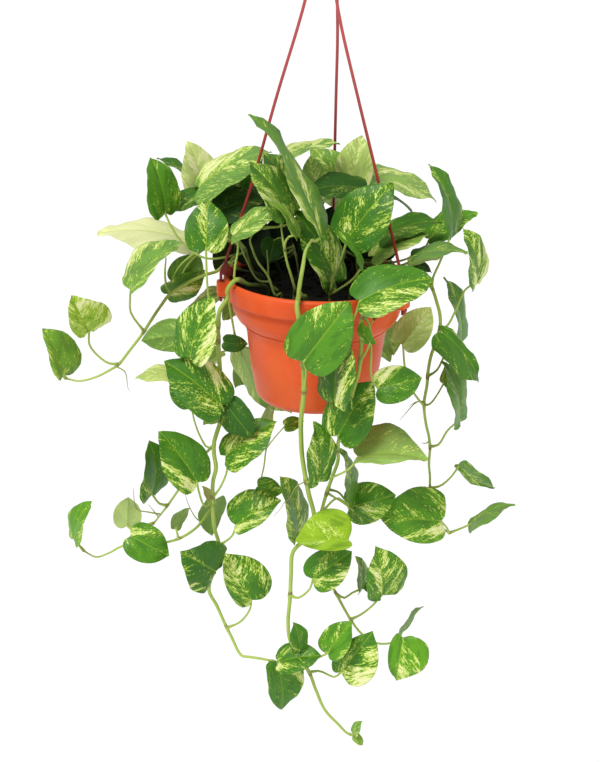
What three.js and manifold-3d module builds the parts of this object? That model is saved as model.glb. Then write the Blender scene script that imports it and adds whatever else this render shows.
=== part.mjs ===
// A potted pothos in a hanging plastic pot: a three-legged plastic hanger, the pot, its soil, and a node
// for each trailing vine and each leafy stem of the crown. Millimetres, +Z up, +Y away from the viewer.
// The origin is the top of the hook's eye, where the hanger bears on whatever holds it.
import * as THREE from "three";
import { mergeVertices } from "three/addons/utils/BufferGeometryUtils.js";
import Module from "manifold-3d";

const wasm = await Module();
wasm.setup();

// ---------------------------------------------------------------- driving dimensions (mm, degrees)
const RIM_Z = -412; // the pot's lip below the hook's bearing point
const RIM_RADIUS = 100;
const POT_SIDES = 28;
const SOIL_DEPTH = 14; // soil surface below the lip
const GAP = 0.4; // between neighbouring pieces
const LUGS = { left: 190, back: 80, right: -30 }; // azimuth of each lug and leg, counted from +X
const LUG = { reach: 107, halfWidth: 8, top: -4, bottom: -20, slotIn: 101.2, slotOut: 104.6, slotHalf: 4.4 };
const LEG_RADIUS = 1.6;
const LEG_SIDES = 6;
const LEG_STEPS = 14;
const HUB_Z = -62; // underside of the hub
const EYE_RADIUS = 15; // inside of the hook
const HOOK_WIRE = 3.2;
const HOOK_SIDES = 8;
const HOOK_STEPS = 28;
const BLADE = 0.8; // leaf thickness
const CLEARANCE = 0.9; // extra blade thickness while looking for a clear place
const PETIOLE = 1.3;
const PETIOLE_STEP = 34; // length of a straight run in a petiole
const STEM_STEP = 21; // and in a stem
const STEM_SIDES = 5;
const TIDY = 0.15; // how far fused surfaces may move to lose needless facets
const SCRAP = 2; // mm3, the most that may be left loose by fusing
const HOLE_DEPTH = 16;
const HOLE_SIDES = 7;
const HOLE_PLAY = 0.95; // between a stem and the flats of its hole
const NECK = 8; // how far each stem stands straight up from the soil

// Points the legs bend through between the lip and the hub.
const LEG_BENDS = {
  left: [[-71.9, -13, -320], [-45.7, -8.1, -223], [-20.8, -3.7, -135.5]],
  back: [[16.1, 76, -327], [15, 49.3, -234], [13.9, 27, -157], [10, 12, -105]],
  right: [[58.2, -34.9, -301.5], [35.5, -23.2, -221.6], [15.4, -12.4, -147.3], [7.5, -5, -105]],
};

// Outside and inside of the pot, and the sides of the soil, as radius and height below the lip.
const POT_OUTSIDE = [
  [0, -136], [47, -136], [48, -138], [54, -138], [60, -135.5], [64, -130], [70.2, -98], [74.5, -62],
  [76, -56], [78.2, -53], [77.4, -52], [84.5, -46.5], [88.6, -39], [91, -31], [91.8, -22.6], [97.6, -22],
  [98.6, -20], [100, -7], [99.6, -2.6], [97.6, -0.4], [96, 0],
];
const POT_INSIDE = [
  [94.4, -0.8], [93, -3], [89.4, -22], [88.6, -31], [82, -44], [74, -54], [71.6, -66], [67.9, -98],
  [64.8, -119], [61.6, -128], [57, -132.6], [0, -133.4],
];
const SOIL_SIDES = [[0, -133], [55, -132], [63.6, -118], [71, -66], [73, -55], [81, -44.8], [87.8, -31.2],
  [88.8, -22], [90.2, -14]];

// ---------------------------------------------------------------- the viewing pyramid of the photograph
// A place given as a pixel and a distance behind the pot's axis becomes a point in space.
const PICTURE = { focal: 1420, middle: [300, 381], roll: 1.3, pitch: 20.5, eye: [-16, -1450, RIM_Z + 421] };
const rollCos = Math.cos(THREE.MathUtils.degToRad(PICTURE.roll));
const rollSin = Math.sin(THREE.MathUtils.degToRad(PICTURE.roll));
const pitchCos = Math.cos(THREE.MathUtils.degToRad(PICTURE.pitch));
const pitchSin = Math.sin(THREE.MathUtils.degToRad(PICTURE.pitch));
const viewer = new THREE.Vector3(...PICTURE.eye);

function seen(px, py, away) {
  const x = px - PICTURE.middle[0];
  const y = py - PICTURE.middle[1];
  const right = (x * rollCos + y * rollSin) / PICTURE.focal;
  const down = (y * rollCos - x * rollSin) / PICTURE.focal;
  const ray = new THREE.Vector3(right, pitchCos - down * pitchSin, -pitchSin - down * pitchCos);
  return ray.multiplyScalar((away - viewer.y) / ray.y).add(viewer);
}

function pixelOf(point) {
  const d = point.clone().sub(viewer);
  const ahead = d.y * pitchCos - d.z * pitchSin;
  const right = (d.x / ahead) * PICTURE.focal;
  const down = (-(d.y * pitchSin + d.z * pitchCos) / ahead) * PICTURE.focal;
  const [x, y] = PICTURE.middle;
  return [x + right * rollCos - down * rollSin, y + right * rollSin + down * rollCos];
}

// ---------------------------------------------------------------- the plant, read by eye from the photograph
// Stem rows: pixel x, pixel y, mm behind the pot's axis. hole: where it stands in the soil. over: the azimuth
// at which it crosses the lip, or null for a stem that stays inside the pot.
// Leaf rows: base x, base y, tip x, tip y, seen width (pixels), base and tip behind the axis (mm),
// face (1 turned up, -1 turned down, 2 and -2 show the underside), arch, route of the petiole to the stem,
// and the skew of an uneven blade.
const STEMS = {
  vine_far_left: {
    hole: [-58, 8], over: 172, radius: 1.8,
    route: [[205, 275, 8], [185, 284, 4], [170, 294, 0], [160, 307, -4], [150, 322, -6], [143, 333, -8],
      [130, 350, -8], [118, 365, -8], [110, 370, -8], [96, 377, -8], [79, 381, -8], [66, 378.5, -8]],
    branches: [
      { radius: 1.2, route: [[171, 293, 0], [167, 287, -2], [165, 275, -8], [166, 258, -16]] },
    ],
    leaves: [
      [131, 288, 182, 243, 28, -30, -22, 1, 0.1, [[130, 300], [131, 313], [143, 333]], 0.35],
      [89, 331, 71, 296, 42, -14, -44, 1, 0.08, [[90, 346], [108, 363], [118, 365]], -0.3],
      [63, 375, 42, 328, 32, -10, -4, 1, 0.1, [[65, 378]], -0.4],
    ],
  },
  vine_left: {
    hole: [-52, -34], over: 211, radius: 2.4,
    route: [[228, 297, -54], [220, 310, -60], [218, 325, -62], [218, 340, -64], [219, 356, -66],
      [221, 385, -68], [223, 412, -68], [219, 426, -68], [214, 443, -68], [214, 454, -68],
      [216, 468, -68], [213, 482, -68], [213, 515, -66], [215, 530, -64], [219, 545, -62],
      [216, 565, -58], [209, 590, -60], [217, 606, -62], [225, 624, -64], [231, 636, -68],
      [241, 655, -76], [250, 657, -84], [263, 659, -94], [272, 661, -98]],
    branches: [
      { radius: 1.5, route: [[214, 446, -68], [202, 457, -54], [190, 473, -50], [179, 489, -52],
        [168, 505, -56], [154, 523, -62]] },
      { radius: 1.5, route: [[213, 507, -66], [198, 526, -62], [186, 535, -60], [175, 540, -58],
        [150, 545, -56], [123, 546, -56], [109, 553, -56], [96, 557, -56], [84, 551, -56]] },
    ],
    leaves: [
      [234, 235, 283, 214, 23, -52, -58, 1, 0.1, [[238, 245], [235, 268], [235, 280], [240, 289]]],
      [206, 249, 208, 200, 44, -50, -20, 1, 0.08, [[207, 280], [209, 300], [213, 320], [218, 326]]],
      [190, 357, 213, 296, 43, -92, -84, 1, 0.08, [[198, 353], [210, 347], [218, 343]]],
      [185, 335, 141, 341, 34, -40, -36, -2, 0.1, [[200, 338], [218, 336]]],
      [178, 376, 135, 379, 17, -50, -48, 1, 0.1, [[200, 381], [220, 384]]],
      [221, 405, 164, 361, 52, -92, -84, 1, 0.08, [[224, 412], [221, 420]]],
      [192, 402, 170, 380, 27, -66, -62, 1, 0.1, [[193, 415], [200, 436], [208, 448], [214, 446]]],
      [227, 404, 254, 437, 32, -80, -84, -1, 0.12, [[225, 408], [223, 412]]],
      [222, 415, 203, 425, 14, -54, -50, -2, 0.1, [[222, 419]]],
      [226, 456, 277, 421, 38, -92, -84, 1, 0.08, [[227, 470], [221, 486], [214, 499]], -0.2],
      [197, 482, 159, 431, 46, -88, -80, 1, 0.08, [[199, 492], [205, 506], [213, 503]]],
      [152, 494, 149, 440, 30, -60, -66, 1, 0.1, [[160, 504], [168, 505]]],
      [131, 536, 169, 556, 38, -80, -76, 1, 0.1, [[137, 528], [154, 523]]],
      [74, 539, 92, 501, 20, -56, -56, 1, 0.12, [[84, 551]]],
      [127, 526, 128, 497, 28, -34, -26, -2, 0.1, [[138, 536], [150, 545]]],
      [176, 528, 190, 508, 12, -48, -46, -2, 0.15, [[179, 538]]],
      [215, 500, 212, 536, 26, -44, -42, -2, 0.08, [[214, 496]]],
      [215, 571, 181, 552, 54, -78, -112, 1, 0.1, [[219, 566], [218, 556]]],
      [251, 600, 224, 553, 44, -72, -66, 1, 0.08, [[250, 609], [240, 622], [227, 627]], -0.3],
      [236, 525, 281, 500, 38, -70, -66, 1, 0.1, [[232, 536], [219, 544]], 0.3],
      [210, 500, 202, 486, 8, -54, -52, 1, 0.1, [[213, 503]]],
      [277, 662, 282, 710, 38, -102, -98, 1, 0.08, [[272, 661]], 0.25],
    ],
  },
  vine_middle: {
    hole: [-12, -66], over: -101, radius: 2.5,
    route: [[299, 320, -112], [301, 345, -114], [303, 362, -113], [304, 390, -108], [301, 420, -104],
      [301, 437, -102], [302, 455, -100], [306, 480, -98], [309, 495, -96], [314, 515, -92],
      [312, 530, -88], [303, 541, -86], [293, 552, -86], [291, 575, -88], [290, 598, -90],
      [288, 623, -92], [290, 640, -94], [297, 655, -98], [309, 672, -100], [316, 690, -98],
      [325, 710, -96], [338, 724, -94], [347, 733, -92], [352, 735, -92]],
    branches: [
      { radius: 2.2, route: [[297, 304, -104], [299, 290, -100], [303, 266, -94], [306, 250, -90],
        [312, 240, -86]] },
    ],
    leaves: [
      [321, 237, 250, 113, 19, -86, -60, 1, 0.06, [[316, 241], [311, 241]]],
      [304, 361, 350, 301, 62, -130, -126, 1, 0.06, [[306, 372], [304, 392]]],
      [360, 301, 434, 279, 48, -118, -100, 1, 0.1, [[352, 322], [335, 342], [303, 364]]],
      [319, 480, 314, 421, 30, -116, -112, 1, 0.08, [[312, 485], [307, 482]]],
      [359, 457, 428, 460, 40, -104, -100, 1, 0.1, [[350, 468], [338, 475], [320, 481], [307, 482]], 0.5],
      [298, 533, 280, 476, 26, -76, -80, 1, 0.08, [[303, 541]]],
      [313, 579, 352, 551, 40, -104, -100, 1, 0.08, [[309, 590], [297, 598], [290, 596]]],
      [348, 540, 295, 541, 42, -124, -124, -1, 0.1, [[340, 546], [322, 545], [303, 541]], -0.5],
      [279, 662, 322, 656, 30, -114, -118, 1, 0.1, [[290, 658], [297, 655]]],
      [299, 650, 293, 622, 20, -120, -120, 1, 0.1, [[298, 654]]],
      [341, 672, 373, 631, 42, -98, -94, 1, 0.08, [[335, 677], [319, 671], [309, 671]], -0.3],
      [328, 653, 352, 621, 31, -106, -102, 1, 0.08, [[320, 657], [303, 663]]],
      [354, 734, 362, 721, 10, -92, -92, 1, 0.1, [[352, 735]]],
      [354, 736, 363, 745, 9, -92, -92, 1, 0.1, [[352, 735]]],
    ],
  },
  vine_low_back: {
    hole: [-30, 46], over: 112, radius: 1.4, drop: 112,
    route: [[276, 396, 78], [270, 425, 52], [266, 449, 36], [264, 466, 20], [262, 475, 10],
      [260, 488, 2]],
    leaves: [
      [285, 426, 304, 421, 15, 30, 30, 1, 0.1, [[276, 436], [266, 449]]],
      [258, 486, 283, 492, 22, -6, -10, 1, 0.1, [[260, 488]]],
      [268, 430, 271, 404, 12, 60, 66, -2, 0.1, [[268, 438]]],
    ],
  },
  vine_behind_left: {
    hole: [-62, 26], over: 152, radius: 1.6,
    route: [[229, 300, 50], [233, 325, 46], [236, 342, 44], [238, 356, 42]],
    leaves: [
      [240, 352, 256, 402, 28, 30, 24, -2, 0.08, [[238, 350]]],
      [224, 342, 248, 344, 18, 10, 14, -1, 0.1, [[234, 335]]],
    ],
  },
  vine_right_front: {
    hole: [34, -36], over: -63, radius: 2,
    route: [[361, 322, -108], [361, 345, -108], [359, 370, -106], [352, 395, -100], [345, 420, -96],
      [338, 444, -92], [338, 460, -90], [333, 475, -88], [328, 489, -86], [322, 510, -82],
      [320, 530, -74], [325, 560, -70], [331, 583, -72], [339, 599, -76], [345, 610, -78],
      [351, 620, -78], [361, 633, -74], [376, 643, -70], [391, 643, -68], [398, 640, -68]],
    leaves: [
      [335, 400, 352, 320, 40, -130, -124, 1, 0.08, [[345, 404], [352, 396]]],
      [338, 436, 373, 381, 50, -116, -110, 1, 0.08, [[339, 442], [338, 448]]],
      [378, 388, 422, 378, 38, -106, -98, 1, 0.1, [[372, 380], [371, 345], [368, 322], [361, 316]]],
      [349, 508, 339, 448, 13, -100, -96, 1, 0.1, [[338, 498], [322, 511]]],
      [350, 507, 396, 495, 42, -90, -86, 1, 0.08, [[345, 500], [338, 492], [328, 490]]],
      [370, 343, 362, 321, 14, -118, -118, -1, 0.1, [[366, 352], [361, 362]]],
      [361, 589, 356, 556, 12, -76, -76, 1, 0.1, [[352, 593], [344, 598], [336, 594]]],
      [382, 595, 376, 546, 42, -84, -92, 1, 0.1, [[372, 606], [360, 615], [350, 618]], -0.2],
      [403, 638, 396, 680, 40, -74, -80, 1, 0.1, [[398, 640]], 0.4],
      [400, 636, 423, 606, 6, -66, -64, 1, 0.04, [[397, 640]]],
      [374, 319, 387, 306, 6, -100, -98, 1, 0.1, [[368, 328], [361, 334]]],
      [380, 596, 360, 584, 13, -84, -84, 1, 0.1, [[372, 606], [360, 615], [350, 618]]],
      [353, 510, 374, 521, 13, -84, -82, -1, 0.1, [[342, 502], [328, 492]]],
    ],
  },
  vine_right: {
    hole: [60, 6], over: 4, radius: 1.8,
    route: [[424, 281, -2], [431, 286, -6], [434, 293, -8], [437, 303, -8], [440, 315, -8],
      [440, 328, -8], [436, 342, -8], [431, 356, -8], [428, 372, -8], [427, 385, -8], [424, 404, -10],
      [426, 424, -10], [429, 437, -10], [430, 448, -10], [429, 464, -10], [430, 477, -10],
      [430, 487, -12], [433, 505, -16], [440, 525, -20], [449, 533, -22]],
    leaves: [
      [453, 231, 429, 164, 19, -4, 4, 1, 0.1, [[447, 245], [440, 262], [433, 278], [431, 286]]],
      [430, 238, 478, 213, 26, 34, 38, 1, 0.1, [[424, 252], [420, 268], [426, 281]]],
      [403, 344, 431, 307, 36, -34, -28, -2, 0.1, [[405, 368], [410, 386], [418, 399], [424, 404]]],
      [441, 332, 479, 382, 26, -20, -24, 1, 0.1, [[440, 329]], -0.5],
      [461, 341, 443, 277, 15, 6, 8, 1, 0.1, [[447, 352], [437, 370], [428, 375]]],
      [477, 283, 463, 228, 22, -8, -10, 1, 0.12, [[466, 289], [455, 312], [447, 326], [440, 329]]],
      [460, 420, 441, 361, 20, -20, -16, 1, 0.1, [[448, 430], [438, 445], [430, 448]]],
      [444, 383, 460, 362, 14, 10, 12, 1, 0.1, [[437, 395], [430, 404], [424, 404]]],
      [459, 466, 495, 488, 14, -20, -22, -1, 0.1, [[450, 478], [440, 486], [431, 488]], 0.5],
      [471, 524, 515, 504, 14, -26, -28, 1, 0.1, [[462, 528], [449, 533]], -0.5],
      [441, 521, 378, 516, 56, -50, -66, 1, 0.08, [[447, 528], [449, 533]], -0.16],
    ],
  },
  crown_front_left: {
    hole: [-24, -50], over: null, radius: 1.5,
    route: [[295, 290, -60], [291, 275, -62], [287, 262, -62], [284, 246, -60], [281, 226, -54]],
    leaves: [
      [287, 214, 248, 162, 34, -48, -40, 1, 0.1, [[283, 220], [281, 227]]],
      [297, 236, 272, 201, 11, -62, -56, 1, 0.1, [[290, 236], [285, 243], [284, 250]]],
      [274, 240, 269, 262, 24, -30, -38, -1, 0.1, [[281, 238], [284, 248]]],
    ],
  },
  crown_middle: {
    hole: [-38, -52], over: null, radius: 1.4,
    route: [[276, 296, -56], [268, 276, -52], [258, 262, -48], [252, 248, -44], [250, 240, -42],
      [254, 233, -38], [263, 228, -34]],
    branches: [
      { radius: 1.2, route: [[275, 294, -56], [270, 283, -50], [268, 264, -44], [267, 250, -38]] },
      { radius: 1.2, route: [[270, 281, -53], [258, 280, -44], [246, 259, -34], [241, 248, -28]] },
    ],
    leaves: [
      [297, 207, 262, 152, 36, -26, -20, 1, 0.1, [[288, 224], [263, 228]]],
      [282, 158, 340, 144, 13, 12, 18, 1, 0.08, [[278, 180], [268, 212], [263, 228]]],
    ],
  },
  crown_front_right: {
    hole: [13, -55], over: null, radius: 1.9,
    route: [[331, 296, -60], [331, 286, -64]],
    leaves: [
      [335, 281, 292, 210, 37, -70, -66, 1, 0.08, [[332, 286], [331, 289]]],
      [347, 240, 393, 183, 54, -52, -44, 1, 0.08, [[340, 262], [332, 282], [331, 292]]],
      [362, 267, 333, 231, 9, -60, -64, 1, 0.1, [[352, 280], [331, 294]]],
    ],
  },
  crown_back: {
    hole: [12, 34], over: null, radius: 1.7,
    route: [[328, 256, 34], [330, 236, 36]],
    leaves: [
      [345, 182, 310, 150, 36, 56, 62, 1, 0.1, [[342, 210], [330, 236]]],
      [352, 185, 362, 135, 38, 40, 44, 1, 0.1, [[342, 214], [330, 238]]],
      [316, 186, 310, 156, 24, 48, 52, 1, 0.1, [[322, 215], [330, 238]]],
      [364, 189, 305, 193, 26, 4, -4, 1, 0.1, [[352, 212], [330, 244]]],
    ],
  },
  crown_right: {
    hole: [44, -6], over: null, radius: 1.6,
    route: [[357, 262, -4], [359, 246, -4]],
    leaves: [
      [370, 178, 437, 202, 23, 30, 36, 1, 0.1, [[366, 205], [359, 246]]],
      [374, 257, 431, 235, 22, -38, -32, 1, 0.1, [[368, 268], [357, 264]]],
      [382, 238, 442, 222, 23, 2, 6, 1, 0.1, [[380, 248], [359, 250]]],
      [415, 256, 468, 253, 14, -16, -18, 1, 0.1, [[395, 262], [357, 262]]],
      [410, 262, 443, 258, 12, -26, -26, -2, 0.1, [[392, 268], [357, 264]]],
      [412, 263, 432, 273, 9, -10, -8, 1, 0.1, [[392, 266], [357, 262]]],
    ],
  },
  crown_left: {
    hole: [-58, -12], over: null, radius: 1.5,
    route: [[252, 268, -10], [246, 250, -10]],
    leaves: [
      [199, 187, 272, 152, 34, -12, -16, 1, 0.1, [[214, 206], [234, 236], [247, 254]], -0.3],
      [165, 213, 150, 157, 34, -2, 2, 1, 0.1, [[171, 226], [181, 241], [205, 258], [246, 254]]],
      [204, 198, 187, 141, 38, 60, 64, 1, 0.1, [[212, 225], [246, 250]]],
      [206, 194, 168, 213, 19, 40, 36, 1, 0.1, [[225, 222], [246, 250]]],
      [208, 199, 157, 158, 11, 26, 22, 1, 0.1, [[222, 226], [246, 252]]],
      [216, 212, 264, 200, 34, 8, 4, 1, 0.1, [[232, 234], [246, 250]]],
    ],
  },
  crown_far_left: {
    hole: [-40, 30], over: null, radius: 1.6,
    route: [[268, 252, 32], [260, 232, 34]],
    leaves: [
      [186, 240, 97, 234, 30, 66, 54, 1, 0.08, [[210, 236], [260, 236]], 0.3],
      [178, 283, 200, 255, 34, 20, 26, -2, 0.1, [[190, 262], [220, 240], [260, 236]]],
      [168, 294, 205, 270, 26, 8, 14, -1, 0.1, [[180, 266], [214, 244], [264, 240]]],
      [240, 182, 262, 148, 28, 36, 40, 1, 0.1, [[248, 205], [260, 232]]],
      [226, 266, 218, 218, 30, 30, 42, 1, 0.1, [[238, 258], [262, 240]]],
      [262, 200, 208, 190, 26, 50, 44, 1, 0.1, [[264, 216], [260, 234]]],
    ],
  },
  crown_inner_left: {
    hole: [-20, 12], over: null, radius: 1.4,
    route: [[297, 262, 24], [293, 244, 34]],
    leaves: [
      [300, 262, 305, 210, 36, 52, 64, 1, 0.1, [[297, 255]]],
      [275, 264, 284, 212, 36, 56, 68, 1, 0.1, [[286, 260], [295, 253]]],
      [250, 262, 262, 214, 36, 58, 70, 1, 0.1, [[272, 262], [293, 249]]],
      [236, 254, 238, 214, 32, 50, 60, 1, 0.1, [[262, 257], [293, 248]]],
    ],
  },
  crown_inner_right: {
    hole: [24, 8], over: null, radius: 1.4,
    route: [[343, 262, 20], [346, 246, 30]],
    leaves: [
      [326, 262, 332, 206, 38, 50, 62, 1, 0.1, [[336, 262], [344, 254]]],
      [352, 262, 356, 218, 36, 54, 66, 1, 0.1, [[347, 256]]],
      [381, 259, 375, 226, 34, 44, 56, 1, 0.1, [[364, 260], [345, 250]]],
    ],
  },
};

// Stems at the back, which the photograph hides: azimuth where they cross the lip, hanging length, leaves.
const BACK_VINES = {
  vine_back_left: { hole: [-44, 50], over: 132, length: 150, leafCount: 5, seed: 3 },
  vine_back_middle: { hole: [4, 64], over: 97, length: 125, leafCount: 4, seed: 9 },
  vine_back_right: { hole: [38, 54], over: 66, length: 110, leafCount: 4, seed: 17, spread: 0.3 },
};
const BACK_CROWNS = {
  crown_back_left: { hole: [-22, 58], facing: 118, leafCount: 5, seed: 23 },
  crown_back_right: { hole: [26, 56], facing: 62, leafCount: 5, seed: 31 },
};

// ---------------------------------------------------------------- geometry helpers
function seededDraw(seed) {
  let state = seed;
  return () => {
    state = (state * 16807) % 2147483647;
    return state / 2147483647;
  };
}

function solidOf(geometry) {
  geometry.deleteAttribute("normal");
  geometry.deleteAttribute("uv");
  const merged = mergeVertices(geometry, 1e-4);
  return new wasm.Manifold(new wasm.Mesh({
    numProp: 3,
    vertProperties: new Float32Array(merged.attributes.position.array),
    triVerts: new Uint32Array(merged.index.array),
  }));
}

function geometryOf(solid) {
  const mesh = solid.getMesh();
  const geometry = new THREE.BufferGeometry();
  geometry.setAttribute("position", new THREE.BufferAttribute(mesh.vertProperties, 3));
  geometry.setIndex(new THREE.BufferAttribute(mesh.triVerts, 1));
  geometry.computeVertexNormals();
  return geometry;
}

// The largest body, without loose scraps or sealed hollows.
function oneBody(solid) {
  return solid.decompose().reduce((best, body) => (body.volume() > best.volume() ? body : best));
}

function joined(solids) {
  const sum = solids.reduce((whole, solid) => whole.add(solid));
  const body = oneBody(sum);
  if (sum.volume() - body.volume() > SCRAP) throw new Error("a piece came loose where it should be fused");
  return body.simplify(TIDY);
}

function turned(profile, sides) {
  const geometry = new THREE.LatheGeometry(profile.map(([r, z]) => new THREE.Vector2(r, z)), sides);
  return geometry.rotateX(Math.PI / 2);
}

// A tube of round section along a curve.
function tube(curve, radius, sides, steps) {
  const section = new THREE.Shape();
  for (let i = 0; i < sides; i++) {
    const angle = (i / sides) * 2 * Math.PI;
    section[i ? "lineTo" : "moveTo"](radius * Math.cos(angle), radius * Math.sin(angle));
  }
  section.closePath();
  return new THREE.ExtrudeGeometry(section, { steps, extrudePath: curve, bevelEnabled: false });
}

function block(width, depth, height, x, y, z) {
  return new THREE.BoxGeometry(width, depth, height).translate(x, y, z);
}

function around(azimuth, radius, z) {
  const angle = THREE.MathUtils.degToRad(azimuth);
  return new THREE.Vector3(radius * Math.cos(angle), radius * Math.sin(angle), z);
}

function smooth(points) {
  return new THREE.CatmullRomCurve3(points, false, "centripetal");
}

// ---------------------------------------------------------------- leaf blade
// Margin and midrib of one half of the blade, from the notch to the tip: shares of the length and half width.
const MARGIN = [
  [0, 0], [-0.06, 0.2], [-0.08, 0.46], [-0.02, 0.76], [0.13, 0.95], [0.35, 1], [0.56, 0.9], [0.76, 0.63],
  [0.9, 0.3], [1, 0],
];
const MIDRIB = [0, 0.01, 0.04, 0.1, 0.2, 0.34, 0.5, 0.68, 0.84, 1];
// Where the blade is faceted, by its length in mm.
const STATIONS = [
  { under: 46, at: [2.4, 4.6, 6.8] },
  { under: 80, at: [2, 3.6, 5.4, 7.3] },
  { under: Infinity, at: [2, 3.3, 4.8, 6.2, 7.6] },
];
const FULLNESS = 0.78; // width over length of a flat blade
const FOLD = 0.2; // rise of each half over its width
const RECURVE = 0.16; // drop of the margin over the half width

function along(list, station) {
  const low = Math.min(Math.floor(station), list.length - 2);
  const share = station - low;
  return list[low].map((value, k) => value + share * (list[low + 1][k] - value));
}

// A point of the blade's middle surface: station runs from notch to tip, side is -1 or 1, out from midrib to
// margin.
function bladePoint(leaf, station, side, out) {
  const [marginX, marginY] = along(MARGIN, station);
  const [ribX] = along(MIDRIB.map((x) => [x]), station);
  const x = ribX + out * (marginX - ribX);
  const y = out * marginY;
  const halfWidth = leaf.width / 2;
  const rise = leaf.length * 4 * leaf.arch * x * (1 - x);
  const fold = halfWidth * (FOLD * y - RECURVE * y * y);
  const wave = halfWidth * 0.07 * out * out * Math.sin(1.9 * station + leaf.phase + side);
  return leaf.base.clone()
    .addScaledVector(leaf.forward, x * leaf.length)
    .addScaledVector(leaf.sideways, side * y * halfWidth * (1 + side * leaf.skew))
    .addScaledVector(leaf.normal, rise + fold + wave);
}

function stationsOf(leaf) {
  return [0, ...STATIONS.find(({ under }) => leaf.length < under).at, MARGIN.length - 1];
}

// A leaf as one closed body: the blade, and its petiole when wanted, which runs on from the notch as a tube.
// extra thickens both while a clear place is being looked for.
function leafSolid(leaf, extra, withPetiole) {
  const stations = stationsOf(leaf);
  const last = stations.length - 1;
  const thick = leaf.normal.clone().multiplyScalar((BLADE + extra) / 2);
  const points = [];
  const faces = [];
  const add = (point) => points.push(point) - 1;
  const rings = petioleRings(leaf, extra, withPetiole).map((ring) => ring.map(add));
  const [notchLeft, notchRight, notchUnder] = rings[0];
  const sides = [1, -1].map((face) => {
    const lifted = (i, side, out) =>
      add(bladePoint(leaf, stations[i], side, out).addScaledVector(thick, face));
    const rib = [-1];
    const left = [face > 0 ? notchLeft : notchUnder];
    const right = [face > 0 ? notchRight : notchUnder];
    for (let i = 1; i <= last; i++) {
      rib[i] = lifted(i, 1, 0);
      left[i] = i < last ? lifted(i, 1, 1) : rib[i];
      right[i] = i < last ? lifted(i, -1, 1) : rib[i];
    }
    return { rib, left, right };
  });
  const [top, under] = sides;
  const skin = (face, a, b, c) => {
    if (a !== b && b !== c && a !== c) faces.push(...(face === top ? [a, b, c] : [c, b, a]));
  };
  faces.push(notchLeft, notchRight, top.rib[1]);
  sides.forEach((face) => {
    skin(face, face.left[0], face.rib[1], face.left[1]);
    skin(face, face.right[0], face.right[1], face.rib[1]);
    for (let i = 1; i < last; i++) {
      skin(face, face.rib[i], face.rib[i + 1], face.left[i + 1]);
      skin(face, face.rib[i], face.left[i + 1], face.left[i]);
      skin(face, face.rib[i], face.right[i + 1], face.rib[i + 1]);
      skin(face, face.rib[i], face.right[i], face.right[i + 1]);
    }
  });
  for (let i = 0; i < last; i++) {
    [[top.left, under.left], [under.right, top.right]].forEach(([upper, lower]) => {
      faces.push(upper[i], upper[i + 1], lower[i + 1], upper[i], lower[i + 1], lower[i]);
    });
  }
  rings.slice(1).forEach((outer, k) => {
    const inner = rings[k];
    [[1, 0], [0, 2], [2, 1]].forEach(([p, q]) => {
      faces.push(inner[p], inner[q], outer[q], inner[p], outer[q], outer[p]);
    });
  });
  const [endLeft, endRight, endUnder] = rings[rings.length - 1];
  faces.push(endRight, endLeft, endUnder);
  const geometry = new THREE.BufferGeometry().setFromPoints(points);
  geometry.setIndex(faces);
  return solidOf(geometry);
}

// Three-cornered sections of the petiole, from the notch of the blade down to the middle of its stem.
function petioleRings(leaf, extra, withPetiole) {
  const radius = (leaf.length < STATIONS[0].under ? PETIOLE * 0.85 : PETIOLE) + extra / 3;
  const curve = smooth([leaf.base, ...leaf.petiole]);
  const steps = withPetiole ? Math.max(2, Math.round(curve.getLength() / PETIOLE_STEP)) : 0;
  const centres = steps ? curve.getSpacedPoints(steps) : [leaf.base];
  const turn = new THREE.Quaternion();
  const side = leaf.sideways.clone();
  const up = leaf.normal.clone();
  let heading = leaf.forward.clone().negate();
  return centres.map((centre, i) => {
    const next = centres[Math.min(i + 1, steps)].clone().sub(centres[Math.max(i - 1, 0)]).normalize();
    if (i) {
      turn.setFromUnitVectors(heading, next);
      side.applyQuaternion(turn);
      up.applyQuaternion(turn);
      heading = next;
    }
    return [[0.87, 0.5], [-0.87, 0.5], [0, -1]].map(([x, y]) =>
      centre.clone().addScaledVector(side, x * radius).addScaledVector(up, y * radius));
  });
}

// Blade axes from its base, its tip and the way it faces. underside turns its back to that side; skew is how
// much wider its left half is than its right.
function laidOut(base, tip, facing, width, arch, underside, phase, skew = 0) {
  const forward = tip.clone().sub(base);
  const length = forward.length();
  forward.normalize();
  const normal = facing.clone().addScaledVector(forward, -facing.dot(forward)).normalize();
  if (underside) normal.negate();
  const sideways = normal.clone().cross(forward);
  return { base, tip, forward, normal, sideways, length, width, arch, phase, skew };
}

// The same for a leaf row, moved by shift along the line of sight.
function placedRow(row, stem, shift) {
  const [baseX, baseY, tipX, tipY, seenWidth, baseAway, tipAway, face, arch, route, skew] = row;
  const base = seen(baseX, baseY, baseAway + shift);
  const tip = seen(tipX, tipY, tipAway + shift);
  const forward = tip.clone().sub(base).normalize();
  const toViewer = viewer.clone().sub(base).normalize();
  const front = toViewer.addScaledVector(forward, -toViewer.dot(forward)).normalize();
  const upward = forward.clone().cross(front);
  if (upward.z < 0) upward.negate();
  const scale = viewer.distanceTo(base) / PICTURE.focal;
  const flat = FULLNESS * base.distanceTo(tip);
  const width = Math.max(seenWidth * scale, flat);
  const lean = Math.acos((seenWidth * scale) / width);
  const facing = front.multiplyScalar(Math.cos(lean));
  facing.addScaledVector(upward, Math.sign(face) * Math.sin(lean));
  const leaf = laidOut(base, tip, facing, width, arch, Math.abs(face) === 2, baseX + tipY, skew);
  leaf.petiole = petioleRoute(leaf, route, baseAway + shift, stem);
  return leaf;
}

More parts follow.
